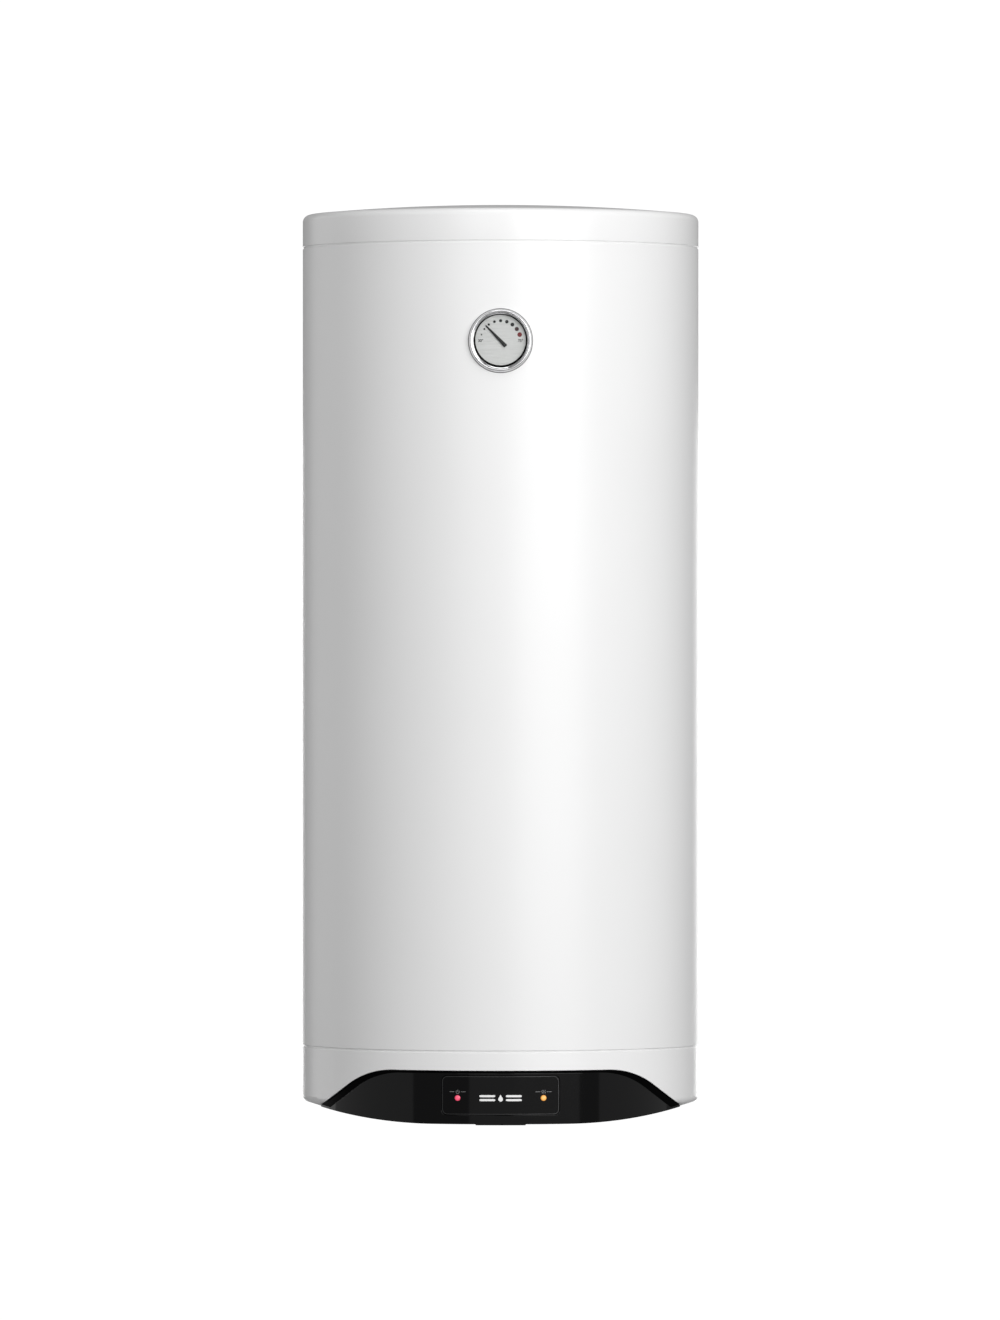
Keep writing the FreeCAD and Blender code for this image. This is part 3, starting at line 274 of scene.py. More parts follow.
def make_finishes():
    """Every finish by its slot's name, then those of the prints and of the painted shade in recesses."""
    metal = {"Metallic": 1.0}
    zinc = finish_of("zinc_steel", (0.60, 0.61, 0.63), 0.32, 0.08, 260.0, 0.03 * MM, 0.8, **metal)
    return {
        "white_enamel": finish_of(
            "white_enamel", WHITE, 0.36, 0.02, 650.0, 0.006 * MM, 0.985,
            Coat_Weight=0.12, Coat_Roughness=0.25, Specular_IOR_Level=0.4,
        ),
        "white_plastic": finish_of(
            "white_plastic", (0.81, 0.81, 0.81), 0.30, 0.02, 900.0, 0.004 * MM, 0.985,
            Coat_Weight=0.12, Coat_Roughness=0.2, Specular_IOR_Level=0.4,
        ),
        "black_gloss": finish_of(
            "black_gloss", BLACK, 0.07, 0.02, 500.0, 0.001 * MM, 0.85, Specular_IOR_Level=0.25
        ),
        "red_lens": glowing("red_lens", (0.60, 0.045, 0.10), (0.95, 0.16, 0.26)),
        "amber_lens": glowing("amber_lens", (0.72, 0.30, 0.05), (1.0, 0.66, 0.26)),
        "lamp_body": finish_of("lamp_body", (0.85, 0.85, 0.82), 0.2),
        "circuit_board": finish_of("circuit_board", (0.02, 0.16, 0.06), 0.4, 0.08, 800.0),
        "foam": finish_of("foam", (0.86, 0.74, 0.42), 0.85, 0.05, 420.0, 0.4 * MM, 0.85),
        "tank_enamel": finish_of("tank_enamel", (0.03, 0.06, 0.14), 0.25, 0.06, 200.0, 0.05 * MM),
        "zinc_steel": zinc,
        "seal_rubber": finish_of("seal_rubber", (0.02, 0.02, 0.02), 0.7, 0.08, 500.0),
        "element_sheath": finish_of("element_sheath", (0.72, 0.47, 0.36), 0.3, 0.08, 300.0, **metal),
        "brass_parts": finish_of("brass_parts", (0.78, 0.60, 0.28), 0.25, 0.06, 300.0, **metal),
        "magnesium": finish_of("magnesium", (0.62, 0.62, 0.60), 0.55, 0.1, 200.0, 0.08 * MM, **metal),
        "black_plastic": finish_of("black_plastic", (0.018, 0.018, 0.019), 0.42, 0.06, 900.0, 0.03 * MM, 0.8),
        "pale_plastic": finish_of("pale_plastic", (0.80, 0.79, 0.75), 0.38, 0.05, 600.0, 0.02 * MM),
        "red_plastic": finish_of("red_plastic", (0.55, 0.03, 0.03), 0.35, 0.05, 600.0, 0.02 * MM),
        "blue_plastic": finish_of("blue_plastic", (0.03, 0.10, 0.48), 0.35, 0.05, 600.0, 0.02 * MM),
        "spring_steel": finish_of("spring_steel", (0.55, 0.55, 0.56), 0.28, 0.06, 400.0, **metal),
        "wire_sleeve": finish_of("wire_sleeve", (0.30, 0.20, 0.12), 0.5, 0.06, 500.0),
        "bright_chrome": finish_of(
            "bright_chrome", (0.72, 0.72, 0.73), 0.10, 0.03, 200.0, 0.002 * MM, 0.97, **metal
        ),
        "case_steel": finish_of("case_steel", (0.20, 0.20, 0.21), 0.35, 0.06, 300.0, **metal),
        "dial_silver": brushed_dial(),
        "pointer_black": finish_of("pointer_black", (0.003, 0.003, 0.004), 0.45, 0.06, 700.0, 0.01 * MM, 0.7),
        "clear_glass": clear_glass(),
        "dial_red": finish_of("dial_red", (0.20, 0.008, 0.012), 0.4),
        "dial_dark_red": finish_of("dial_dark_red", (0.035, 0.006, 0.009), 0.4),
        "white_print": finish_of("white_print", (0.86, 0.86, 0.86), 0.4, 0.05, 800.0, 0.01 * MM),
        "grey_print": finish_of("grey_print", (0.20, 0.20, 0.20), 0.45, 0.05, 800.0, 0.01 * MM),
        # Painted highlight: a faint grey, just lighter than the black, for the line round the window where
        # its edge catches light.
        "faint_edge_highlight": finish_of("faint_edge_highlight", (0.030, 0.030, 0.031), 0.3, 0.05, 800.0, 0.01 * MM),
        # Painted shade: a black darker than the gloss black and almost without specular, for the fascia's
        # sunk band and the ring inside the thermometer.
        "recess_painted_shade": finish_of(
            "recess_painted_shade", (0.0012, 0.0012, 0.0013), 0.3, 0.05, 600.0, Specular_IOR_Level=0.01
        ),
        # Painted shadow: the grey of the thin ring round the bezel.
        "shadow_ring_grey": finish_of("shadow_ring_grey", (0.10, 0.10, 0.10), 0.6, 0.06, 700.0),
    }


def dress_nodes(finishes):
    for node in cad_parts.values():
        for slot in node.material_slots:
            slot.material = finishes[slot.material.name.split(".")[0]]


# ---- pieces ----

def add_piece(name, mesh, body, material, replaces=()):
    piece = bpy.data.objects.new(name, mesh)
    bpy.context.scene.collection.objects.link(piece)
    mesh.materials.clear()
    mesh.materials.append(material)
    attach(piece, body)
    if replaces:
        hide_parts(*replaces)
    return piece


def mesh_from(name, points, faces, smooth=True, limit=32):
    """A mesh with its normals turned outwards, and edges sharper than a limit in degrees kept sharp."""
    mesh = bpy.data.meshes.new(name)
    mesh.from_pydata([tuple(p) for p in points], [], faces)
    work = bmesh.new()
    work.from_mesh(mesh)
    bmesh.ops.remove_doubles(work, verts=work.verts, dist=0.0005 * MM)
    bmesh.ops.recalc_face_normals(work, faces=work.faces)
    work.to_mesh(mesh)
    work.free()
    if smooth:
        mesh.shade_smooth()
        mesh.set_sharp_from_angle(angle=math.radians(limit))
    return mesh


def frame_along(way):
    """Two directions across a third, for turned shapes."""
    side = way.cross(UP) if abs(way.z) < 0.9 else Vector((1, 0, 0))
    side.normalize()
    return side, way.cross(side).normalized()


def ring_faces(steps, count):
    """Faces between closed sections of count points each, set round a closed ring."""
    faces = []
    for i in range(steps):
        for j in range(count):
            n, k = (j + 1) % count, (i + 1) % steps
            faces.append((i * count + j, i * count + n, k * count + n, k * count + j))
    return faces


def turned(name, profile, centre, way, steps=128, wobble=None, limit=32):
    """A profile of (radius, height) in mm turned round a direction; wobble changes the radius by the turn."""
    side, other = frame_along(way)
    points = []
    for i in range(steps):
        turn = TURN * i / steps
        out = side * math.cos(turn) + other * math.sin(turn)
        for j, (radius, height) in enumerate(profile):
            r = radius + (wobble(turn, j) if wobble else 0)
            points.append(centre + out * (r * MM) + way * (height * MM))
    return mesh_from(name, points, ring_faces(steps, len(profile)), limit=limit)


def arc_points(x, y, radius, start, end, steps):
    return [
        (
            x + radius * math.cos(math.radians(start + (end - start) * i / steps)),
            y + radius * math.sin(math.radians(start + (end - start) * i / steps)),
        )
        for i in range(steps + 1)
    ]


def cap_fan(ring, centre):
    return [(ring[i], ring[(i + 1) % len(ring)], centre) for i in range(len(ring))]


# ---- thin printed shapes on a face ----

def on_window(lift):
    """Places a flat point in mm on the curved window, a lift in mm off its face."""
    radius = WINDOW_R + lift * MM

    def place(x, z):
        x *= MM
        return Vector((x, AXIS.y - math.sqrt(radius * radius - x * x), z * MM))

    return place


def on_dial(lift):
    def place(x, z):
        return Vector((DIAL.x + x * MM, DIAL.y - lift * MM, DIAL.z + z * MM))

    return place


def on_panel(centre, lift):
    """Places a flat point in mm on the underside panel, seen from below."""
    def place(x, y):
        return Vector((centre.x + x * MM, centre.y + y * MM, PANEL_LOW - lift * MM))

    return place


def strip(points, width, closed=False):
    """Left and right edges of a band along a flat line; the width in mm may be a list, one for each point."""
    count = len(points)
    widths = width if isinstance(width, list) else [width] * count
    left, right = [], []
    for i, (x, z) in enumerate(points):
        before = points[(i - 1) % count] if closed or i else points[i]
        after = points[(i + 1) % count] if closed or i < count - 1 else points[i]
        dx, dz = after[0] - before[0], after[1] - before[1]
        length = math.hypot(dx, dz) or 1
        nx, nz = -dz / length * widths[i] / 2, dx / length * widths[i] / 2
        left.append((x + nx, z + nz))
        right.append((x - nx, z - nz))
    return left, right


def band_faces(count, closed):
    """Faces of a raised band whose points come as low left, low right, high left and high right."""
    top = 2 * count
    faces = []
    for i in range(count if closed else count - 1):
        j = (i + 1) % count
        a, b, c, d = i, j, count + j, count + i
        faces += [(a, b, c, d), (top + a, top + d, top + c, top + b)]
        faces += [(a, top + a, top + b, b), (d, c, top + c, top + d)]
    return faces


def printed_strip(points, width, low, high, closed=False):
    """Points and faces of a thin raised band between two placings, one on the face and one just off it."""
    left, right = strip(points, width, closed)
    count = len(points)
    verts = [place(*p) for place in (low, high) for p in left + right]
    faces = band_faces(count, closed)
    if not closed:
        top = 2 * count
        for a, d in ((0, count), (count - 1, 2 * count - 1)):
            faces.append((a, d, top + d, top + a))
    return verts, faces


def printed_patch(outline, low, high):
    """Points and faces of a thin raised patch that can be fanned from its middle."""
    count = len(outline)
    cx = sum(p[0] for p in outline) / count
    cz = sum(p[1] for p in outline) / count
    verts = [low(*p) for p in outline] + [high(*p) for p in outline] + [low(cx, cz), high(cx, cz)]
    faces = cap_fan(list(range(count)), 2 * count) + cap_fan(list(range(count, 2 * count)), 2 * count + 1)
    faces += [(i, (i + 1) % count, count + (i + 1) % count, count + i) for i in range(count)]
    return verts, faces


def joined(parts):
    verts, faces = [], []
    for more, quads in parts:
        shift = len(verts)
        verts += more
        faces += [tuple(i + shift for i in face) for face in quads]
    return verts, faces


def printed(name, parts, body, material):
    verts, faces = joined(parts)
    return add_piece(name, mesh_from(name, verts, faces, False), body, material)


def disc(x, z, radius, steps=40):
    return arc_points(x, z, radius, 0, 360 - 360 / steps, steps - 1)


def rounded_box(half_x, half_z, radius, x=0.0, z=0.0, steps=8):
    """The outline of a rectangle with round corners."""
    corners = (
        (half_x - radius, half_z - radius, 0), (radius - half_x, half_z - radius, 90),
        (radius - half_x, radius - half_z, 180), (half_x - radius, radius - half_z, 270),
    )
    return [
        (x + px, z + pz)
        for cx, cz, start in corners
        for px, pz in arc_points(cx, cz, radius, start, start + 90, steps)
    ]


def subdivided(outline, longest=3.0):
    """Adds points along a closed outline's long sides, so that it follows a curved face."""
    more = []
    for i, (x, z) in enumerate(outline):
        nx, nz = outline[(i + 1) % len(outline)]
        count = max(1, math.ceil(math.hypot(nx - x, nz - z) / longest))
        more += [(x + (nx - x) * k / count, z + (nz - z) * k / count) for k in range(count)]
    return more


# ---- thermometer ----

DOTS = 9
DOT_RING = 22.4
DOT_STEP = 18
DOT_SMALL = 0.9
DOT_LARGE = 2.6
NUMBER_X = 22.3
NUMBER_SIZE = 4.3
PRINT = 0.05


def dial_print(finishes):
    low, high = on_dial(0.0), on_dial(PRINT)
    ink, red = finishes["pointer_black"], finishes["dial_red"]
    black_dots, red_dots = [], []
    for i in range(DOTS):
        turn = math.radians((i - (DOTS - 1) / 2) * DOT_STEP)
        radius = DOT_SMALL + (DOT_LARGE - DOT_SMALL) * i / (DOTS - 1)
        dot = printed_patch(disc(DOT_RING * math.sin(turn), DOT_RING * math.cos(turn), radius), low, high)
        (red_dots if i >= DOTS - 2 else black_dots).append(dot)
    printed("dial_dots_black", black_dots, "heater", ink)
    printed("dial_dots_red", red_dots[1:], "heater", red)
    printed("dial_dot_dark_red", red_dots[:1], "heater", finishes["dial_dark_red"])
    for name, words, x in (("dial_number_low", "30°", -NUMBER_X), ("dial_number_high", "75°", NUMBER_X)):
        dial_number(name, words, x, ink)


def dial_number(name, words, x, ink):
    """A number printed on the dial, cut from the built-in font."""
    curve = bpy.data.curves.new(name, "FONT")
    curve.body = words
    curve.size = NUMBER_SIZE * MM
    curve.align_x, curve.align_y = "CENTER", "CENTER"
    curve.extrude = PRINT / 2 * MM
    curve.offset = 0.12 * MM
    holder = bpy.data.objects.new(name + "_curve", curve)
    bpy.context.scene.collection.objects.link(holder)
    bpy.context.view_layer.update()
    graph = bpy.context.evaluated_depsgraph_get()
    shape = bpy.data.meshes.new_from_object(holder.evaluated_get(graph))
    bpy.data.objects.remove(holder)
    seat = Matrix.Translation(DIAL + Vector((x * MM, -PRINT / 2 * MM, 0)))
    shape.transform(seat @ Matrix.Rotation(math.pi / 2, 4, "X"))
    shape.name = name
    add_piece(name, shape, "heater", ink)


RIM_INNER = 28.25
RIM_OUTER = 31.6
RIM_OFFSET = 0.85
RIM_PROUD = 0.9
RIM_STEPS = 128


def circle(radius, lift=0.0):
    """Points of the circles of the dial's ring of painted shade, which may stand off the dial's middle."""
    turns = [TURN * i / RIM_STEPS for i in range(RIM_STEPS)]
    return [(radius * math.cos(turn), lift + radius * math.sin(turn)) for turn in turns]


def dial_painted_shade_ring(finishes):
    """A near-black ring of painted shade inside the case, wider at the bottom than at the top, for the shaded
    cavity between the dial's edge and the bezel.
    """
    rings = circle(RIM_INNER, RIM_OFFSET), circle(RIM_OUTER)
    points = [place(*p) for place in (on_dial(0.0), on_dial(RIM_PROUD)) for ring in rings for p in ring]
    mesh = mesh_from("dial_painted_shade_ring", points, band_faces(RIM_STEPS, True))
    # Painted shade: the ring's black, nearly unreflective finish stands for the shadow inside the bezel.
    add_piece("dial_painted_shade_ring", mesh, "heater", finishes["recess_painted_shade"])


BEZEL_SKIRT = -6.9
BEZEL_SINK = 0.35


def bezel(finishes):
    """A rolled ring: a chamfered inner lip, a groove, a round crest and a skirt down to the jacket."""
    case_front = node_box("thermometer_case")[0].y
    crest = (case_front - node_box("thermometer_bezel")[0].y) / MM
    profile = [(32.9, BEZEL_SKIRT), (32.9, -0.05), (30.0, -0.05), (30.0, 0.35), (30.25, 0.7)]
    profile += [(30.9, 1.15), (31.35, 1.3), (31.5, 1.2), (31.65, 1.3)]
    profile += [(33.05 + x, y) for x, y in arc_points(0, crest - 1.35, 1.35, 165, 15, 16)]
    profile += [(34.75, 0.35), (34.95, 0.0), (35.05, -0.35), (35.4, -0.65), (35.5, -1.1), (35.5, BEZEL_SKIRT)]
    mesh = turned("bezel_trim", profile, Vector((DIAL.x, case_front, DIAL.z)), FRONT, 192, limit=40)
    reach = CASE_R - BEZEL_SINK * MM
    for vert in mesh.vertices:
        x = vert.co.x - AXIS.x
        seat = AXIS.y - math.sqrt(reach * reach - x * x)
        vert.co.y = min(vert.co.y, seat)
    chrome = finishes["bright_chrome"]
    add_piece("bezel_trim", mesh, "heater", chrome, ["thermometer_bezel"])


SHADOW_RING_R = 36.2
SHADOW_RING_PROUD = 0.5


def bezel_shadow_ring(finishes):
    """A thin dark grey ring between the bezel and the jacket, bent to the jacket's curve: the painted shadow
    of the gap round the bezel.
    """
    section = [
        (SHADOW_RING_R - 1.2, -0.4), (SHADOW_RING_R, -0.4), (SHADOW_RING_R, SHADOW_RING_PROUD * 0.6),
        (SHADOW_RING_R - 0.3, SHADOW_RING_PROUD), (SHADOW_RING_R - 1.2, SHADOW_RING_PROUD),
    ]
    steps = 160
    points = []
    for i in range(steps):
        turn = TURN * i / steps
        for radius, lift in section:
            x, z = radius * MM * math.cos(turn), radius * MM * math.sin(turn)
            reach = CASE_R + lift * MM
            points.append(Vector((DIAL.x + x, AXIS.y - math.sqrt(reach * reach - x * x), DIAL.z + z)))
    mesh = mesh_from("bezel_shadow_ring", points, ring_faces(steps, len(section)))
    add_piece("bezel_shadow_ring", mesh, "heater", finishes["shadow_ring_grey"])


POINTER_REST = 44
POINTER_TIP = 23.9
POINTER_TAIL = 8.5
TAIL_HALF = 2.3
TIP_HALF = 0.7


def needle(finishes):
    """A tapered needle, folded to a shallow ridge, with a square tail."""
    low, high = node_box("thermometer_pointer")
    base, top = high.y, low.y
    outline = [
        (TIP_HALF * 0.5, POINTER_TIP), (TIP_HALF, POINTER_TIP - 0.7), (TAIL_HALF - 0.1, -POINTER_TAIL + 0.4),
        (TAIL_HALF - 0.4, -POINTER_TAIL), (0.4 - TAIL_HALF, -POINTER_TAIL),
        (0.1 - TAIL_HALF, -POINTER_TAIL + 0.4), (-TIP_HALF, POINTER_TIP - 0.7),
        (-TIP_HALF * 0.5, POINTER_TIP),
    ]
    ridge = [(0.0, POINTER_TIP - 0.8), (0.0, -POINTER_TAIL + 1.2)]
    turn = Matrix.Rotation(math.radians(POINTER_REST), 2)
    eaves = base + (top - base) * 0.55

    def place(point, y):
        spot = turn @ Vector(point)
        return Vector((DIAL.x + spot.x * MM, y, DIAL.z + spot.y * MM))

    count = len(outline)
    points = [place(p, y) for y in (base, eaves) for p in outline] + [place(p, top) for p in ridge]
    tip, tail = 2 * count, 2 * count + 1
    faces = [tuple(range(count))]
    faces += [(i, (i + 1) % count, count + (i + 1) % count, count + i) for i in range(count)]
    e = [count + i for i in range(count)]
    faces += [(e[0], e[1], tip), (e[1], e[2], tail, tip)]
    faces += [(e[2], e[3], tail), (e[3], e[4], tail), (e[4], e[5], tail)]
    faces += [(e[5], e[6], tip, tail), (e[6], e[7], tip), (e[7], e[0], tip)]
    mesh = mesh_from("pointer_needle", points, faces, False)
    black = finishes["pointer_black"]
    add_piece("pointer_needle", mesh, "dial_pointer", black, ["thermometer_pointer"])


# ---- control strip ----

LAMP_X = 48.0
LAMP_Z = middle("red_lamp_lens").z / MM
ICON_Z = LAMP_Z + 7.0
INK = 0.04
INK_SINK = 0.02
INK_LINE = 0.5
BORDER_INSET = 0.9
BORDER_R = 5.4
BORDER_LINE = 0.42
DOME = 1.1


def lamp_domes(finishes):
    for colour in ("red", "amber"):
        name, node, slot = f"{colour}_lamp_dome", f"{colour}_lamp_lens", f"{colour}_lens"
        low, high = node_box(node)
        spot = (low + high) / 2
        radius = (high.x - low.x) / 2 / MM
        length = (high.y - low.y) / MM
        turns = [math.radians(a) for a in range(0, 91, 9)]
        crown = [(radius * math.sin(turn), length - DOME + DOME * math.cos(turn)) for turn in turns]
        crown[0] = (0.02, length)
        profile = [(0.02, 0.0), (radius - 0.2, 0.0), (radius, 0.3)] + crown[::-1]
        mesh = turned(name, profile, Vector((spot.x, high.y, spot.z)), FRONT, 48)
        add_piece(name, mesh, "heater", finishes[slot], [node])


def window_print(finishes):
    """A faint grey line round the window as a painted highlight of its edge, an icon over each lamp and a
    plain mark of bars and a drop.
    """
    low, high = on_window(-INK_SINK), on_window(INK)
    half_x = (WINDOW_HIGH.x - WINDOW_LOW.x) / 2 / MM - BORDER_INSET
    half_z = (WINDOW_HIGH.z - WINDOW_LOW.z) / 2 / MM - BORDER_INSET
    mid_z = (WINDOW_HIGH.z + WINDOW_LOW.z) / 2 / MM
    # Painted highlight: a faint line just inside the window's edge, standing for the light that edge catches.
    border = subdivided(rounded_box(half_x, half_z, BORDER_R, 0, mid_z))
    line = printed_strip(border, BORDER_LINE, low, high, True)
    printed("window_edge_highlight", [line], "heater", finishes["faint_edge_highlight"])

    grey = finishes["grey_print"]
    ring = arc_points(-LAMP_X, ICON_Z - 0.2, 1.75, 130, 410, 24)
    parts = [printed_strip(ring, INK_LINE, low, high)]
    parts.append(printed_strip([(-LAMP_X, ICON_Z + 0.1), (-LAMP_X, ICON_Z + 2.0)], INK_LINE, low, high))
    printed("power_icon", parts + dashes(-LAMP_X, low, high), "heater", grey)

    waves = []
    for shift in (-1.7, 0.0, 1.7):
        sway = [LAMP_X + shift + 0.42 * math.sin(TURN * k / 12) for k in range(17)]
        bends = [(x, ICON_Z - 1.9 + 3.8 * k / 16) for k, x in enumerate(sway)]
        waves.append(printed_strip(bends, INK_LINE, low, high))
    printed("heat_icon", waves + dashes(LAMP_X, low, high), "heater", grey)

    mark = [printed_patch(subdivided(drop(0, LAMP_Z, 7.6)), low, high)]
    for side in (-1, 1):
        for lift in (2.2, -2.2):
            bar = [(side * (6.0 + 1.6 * k), LAMP_Z + lift) for k in range(12)]
            round_end = [math.radians(min(90, 30 + 60 * min(k, 11 - k))) for k in range(12)]
            thick = [0.9 + 1.5 * math.sin(turn) for turn in round_end]
            mark.append(printed_strip(bar, thick, low, high))
    printed("panel_mark", mark, "heater", finishes["white_print"])


def dashes(x, low, high):
    """A short faint line on each side of an icon."""
    steps = (3.6, 5.4, 7.2, 9.0)
    return [printed_strip([(x + side * k, ICON_Z) for k in steps], INK_LINE, low, high) for side in (-1, 1)]


def drop(x, z, height):
    """The outline of a water drop."""
    radius = height * 0.34
    low = z - height / 2 + radius
    tangent = math.degrees(math.asin(radius / (height - radius)))
    return arc_points(x, low, radius, 180 - tangent, 360 + tangent, 24) + [(x, z + height / 2)]


# ---- pipes, knob and screws ----

PITCH = 1.814
THREAD_LENGTH = 24.0
THREAD_ROOT = 9.32
THREAD_TOP = 10.48
STUB_R = 10.0
BORE_R = 8.0
STUB_STEPS = 64
ROWS_PER_PITCH = 8
LEAD_IN = 1.6
FADE_OUT = 1.2


def pipe_stub(name, node, finishes):
    """A steel stub whose lower end carries a cut thread that fades out at its top."""
    low, high = node_box(node)
    centre = (low + high) / 2
    rows = int(THREAD_LENGTH / PITCH * ROWS_PER_PITCH)
    heights = [THREAD_LENGTH * k / rows for k in range(rows + 1)]
    total = (high.z - low.z) / MM
    points = []

    def radius_at(height, turn):
        wave = abs(((height / PITCH - turn / TURN) % 1) * 2 - 1)
        start = min(1, height / LEAD_IN)
        end = min(1, (THREAD_LENGTH - height) / FADE_OUT)
        depth = (THREAD_TOP - THREAD_ROOT) * min(1, max(0, wave * 1.25 - 0.12)) * start
        return THREAD_ROOT + depth + (STUB_R - THREAD_ROOT - depth) * (1 - end)

    for i in range(STUB_STEPS):
        turn = TURN * i / STUB_STEPS
        out = Vector((math.cos(turn), math.sin(turn), 0))
        column = [(BORE_R, total), (BORE_R, 0.6), (BORE_R + 0.5, 0.0)]
        column += [(radius_at(h, turn), h) for h in heights] + [(STUB_R, total)]
        for radius, height in column:
            points.append(Vector((centre.x, centre.y, low.z)) + out * (radius * MM) + UP * (height * MM))
    mesh = mesh_from(name, points, ring_faces(STUB_STEPS, len(column)), limit=50)
    add_piece(name, mesh, "heater", finishes["zinc_steel"], [node])


KNOB_FLUTES = 12
GRIP_R = 15.9
HUB_R = 3.05
SCALLOP = 1.5


def knob(finishes):
    """A moulded knob under the panel: scalloped grip, dished face and a raised pointer with a white line."""
    low, high = node_box("thermostat_knob")
    centre = middle("thermostat_spindle")
    tall = (high.z - low.z) / MM
    profile = [(HUB_R, 0.0), (GRIP_R - 0.5, 0.0), (GRIP_R, 0.5), (GRIP_R, tall - 2.4)]
    profile += [(GRIP_R - 0.25, tall - 1.7), (GRIP_R - 0.9, tall - 1.1)]
    profile += [(13.4, tall - 0.95), (12.6, tall - 1.2), (9.0, tall - 1.9), (HUB_R, tall - 2.0)]
    grip = range(1, 6)

    def scallop(turn, index):
        bite = max(0.0, math.cos(KNOB_FLUTES * turn)) ** 1.6
        return -SCALLOP * bite if index in grip else 0.0

    seat = Vector((centre.x, centre.y, high.z))
    mesh = turned("knob_grip", profile, seat, -UP, 144, wobble=scallop)
    black = finishes["black_plastic"]
    add_piece("knob_grip", mesh, "temperature_knob", black, ["thermostat_knob"])
    wedge = [(1.9, 3.2), (1.25, -13.2), (0.7, -14.1), (-0.7, -14.1)]
    wedge += [(-1.25, -13.2), (-1.9, 3.2), (-1.2, 4.0), (1.2, 4.0)]
    rib = [
        lambda x, y, z=z, s=s: Vector((centre.x + x * s * MM, centre.y + y * MM, high.z - z * MM))
        for z, s in ((tall - 2.1, 1.0), (tall - 0.35, 0.92))
    ]
    mesh = mesh_from("knob_rib", *printed_patch(wedge, *rib), False)
    add_piece("knob_rib", mesh, "temperature_knob", black)
    face = [
        lambda x, y, z=z: Vector((centre.x + x * MM, centre.y + y * MM, high.z - z * MM))
        for z in (tall - 0.36, tall - 0.3)
    ]
    line = printed_strip([(0.0, -13.2), (0.0, -9.0), (0.0, -5.0)], 0.8, *face)
    printed("knob_line", [line], "temperature_knob", finishes["white_print"])


SCALE_MARKS = 11
SCALE_HALF = 135


def knob_scale(finishes):
    """Marks on the panel round the knob that grow from cool to hot."""
    centre = middle("thermostat_spindle")
    low, high = on_panel(centre, 0.0), on_panel(centre, PRINT)
    marks = []
    for i in range(SCALE_MARKS):
        turn = math.radians(SCALE_HALF * (2 * i / (SCALE_MARKS - 1) - 1))
        grow = 0.45 + 0.09 * i
        way = (math.sin(turn), -math.cos(turn))
        ends = [(way[0] * r, way[1] * r) for r in (18.4, 19.9 + 0.14 * i)]
        marks.append(printed_strip(ends, grow, low, high))
    printed("knob_scale", marks, "heater", finishes["pointer_black"])


SCREW_ANGLES = (-75, -25, 25, 75)
HEAD_R = 4.0
HEAD_H = 2.15
CROSS = 1.0
CROSS_REACH = 2.5
CROSS_DEPTH = 1.1


def screw_heads(finishes):
    """Pan head screws with a cross recess round the back of the lower cover."""
    z = middle("cover_screws").z
    parts = []
    for angle in SCREW_ANGLES:
        turn = math.radians(angle)
        way = Vector((math.sin(turn), math.cos(turn), 0))
        seat = Vector((AXIS.x, AXIS.y, z)) + way * (CASE_R - 0.1 * MM)
        parts.append(cross_head(seat, way))
    verts, faces = joined(parts)
    mesh = mesh_from("cover_screw_heads", verts, faces, limit=28)
    zinc = finishes["zinc_steel"]
    add_piece("cover_screw_heads", mesh, "heater", zinc, ["cover_screws"])


def cross_head(seat, way):
    """A domed disc on a polar grid, pressed in along a cross."""
    side, other = frame_along(way)
    rings, spokes = 12, 48
    verts, faces = [], []
    for r in range(rings + 1):
        share = r / rings
        for s in range(spokes):
            turn = TURN * s / spokes
            x, y = HEAD_R * share * math.cos(turn), HEAD_R * share * math.sin(turn)
            height = HEAD_H * math.sqrt(max(0.0, 1 - (share * 0.86) ** 2))
            if min(abs(x), abs(y)) < CROSS / 2 and max(abs(x), abs(y)) < CROSS_REACH:
                height -= CROSS_DEPTH * (1 - 0.35 * share)
            verts.append(seat + side * (x * MM) + other * (y * MM) + way * (height * MM))
    base = len(verts)
    for s in range(spokes):
        turn = TURN * s / spokes
        verts.append(seat + (side * math.cos(turn) + other * math.sin(turn)) * (HEAD_R * MM))
    verts.append(seat)
    for r in range(rings):
        for s in range(spokes):
            t = (s + 1) % spokes
            faces.append((r * spokes + s, r * spokes + t, (r + 1) * spokes + t, (r + 1) * spokes + s))
    for s in range(spokes):
        t = (s + 1) % spokes
        faces.append((rings * spokes + s, rings * spokes + t, base + t, base + s))
        faces.append((base + s, base + t, base + spokes))
    return verts, faces


# ---- casing ----

LID_T = 2.0
LIP_R = 223.9
LIP_T = 2.4
SEAM = 1.8
POLE_R = 0.05
SEAM_EDGE = 0.8
RIM_R = 8.0
RIM_TOP = 509.0


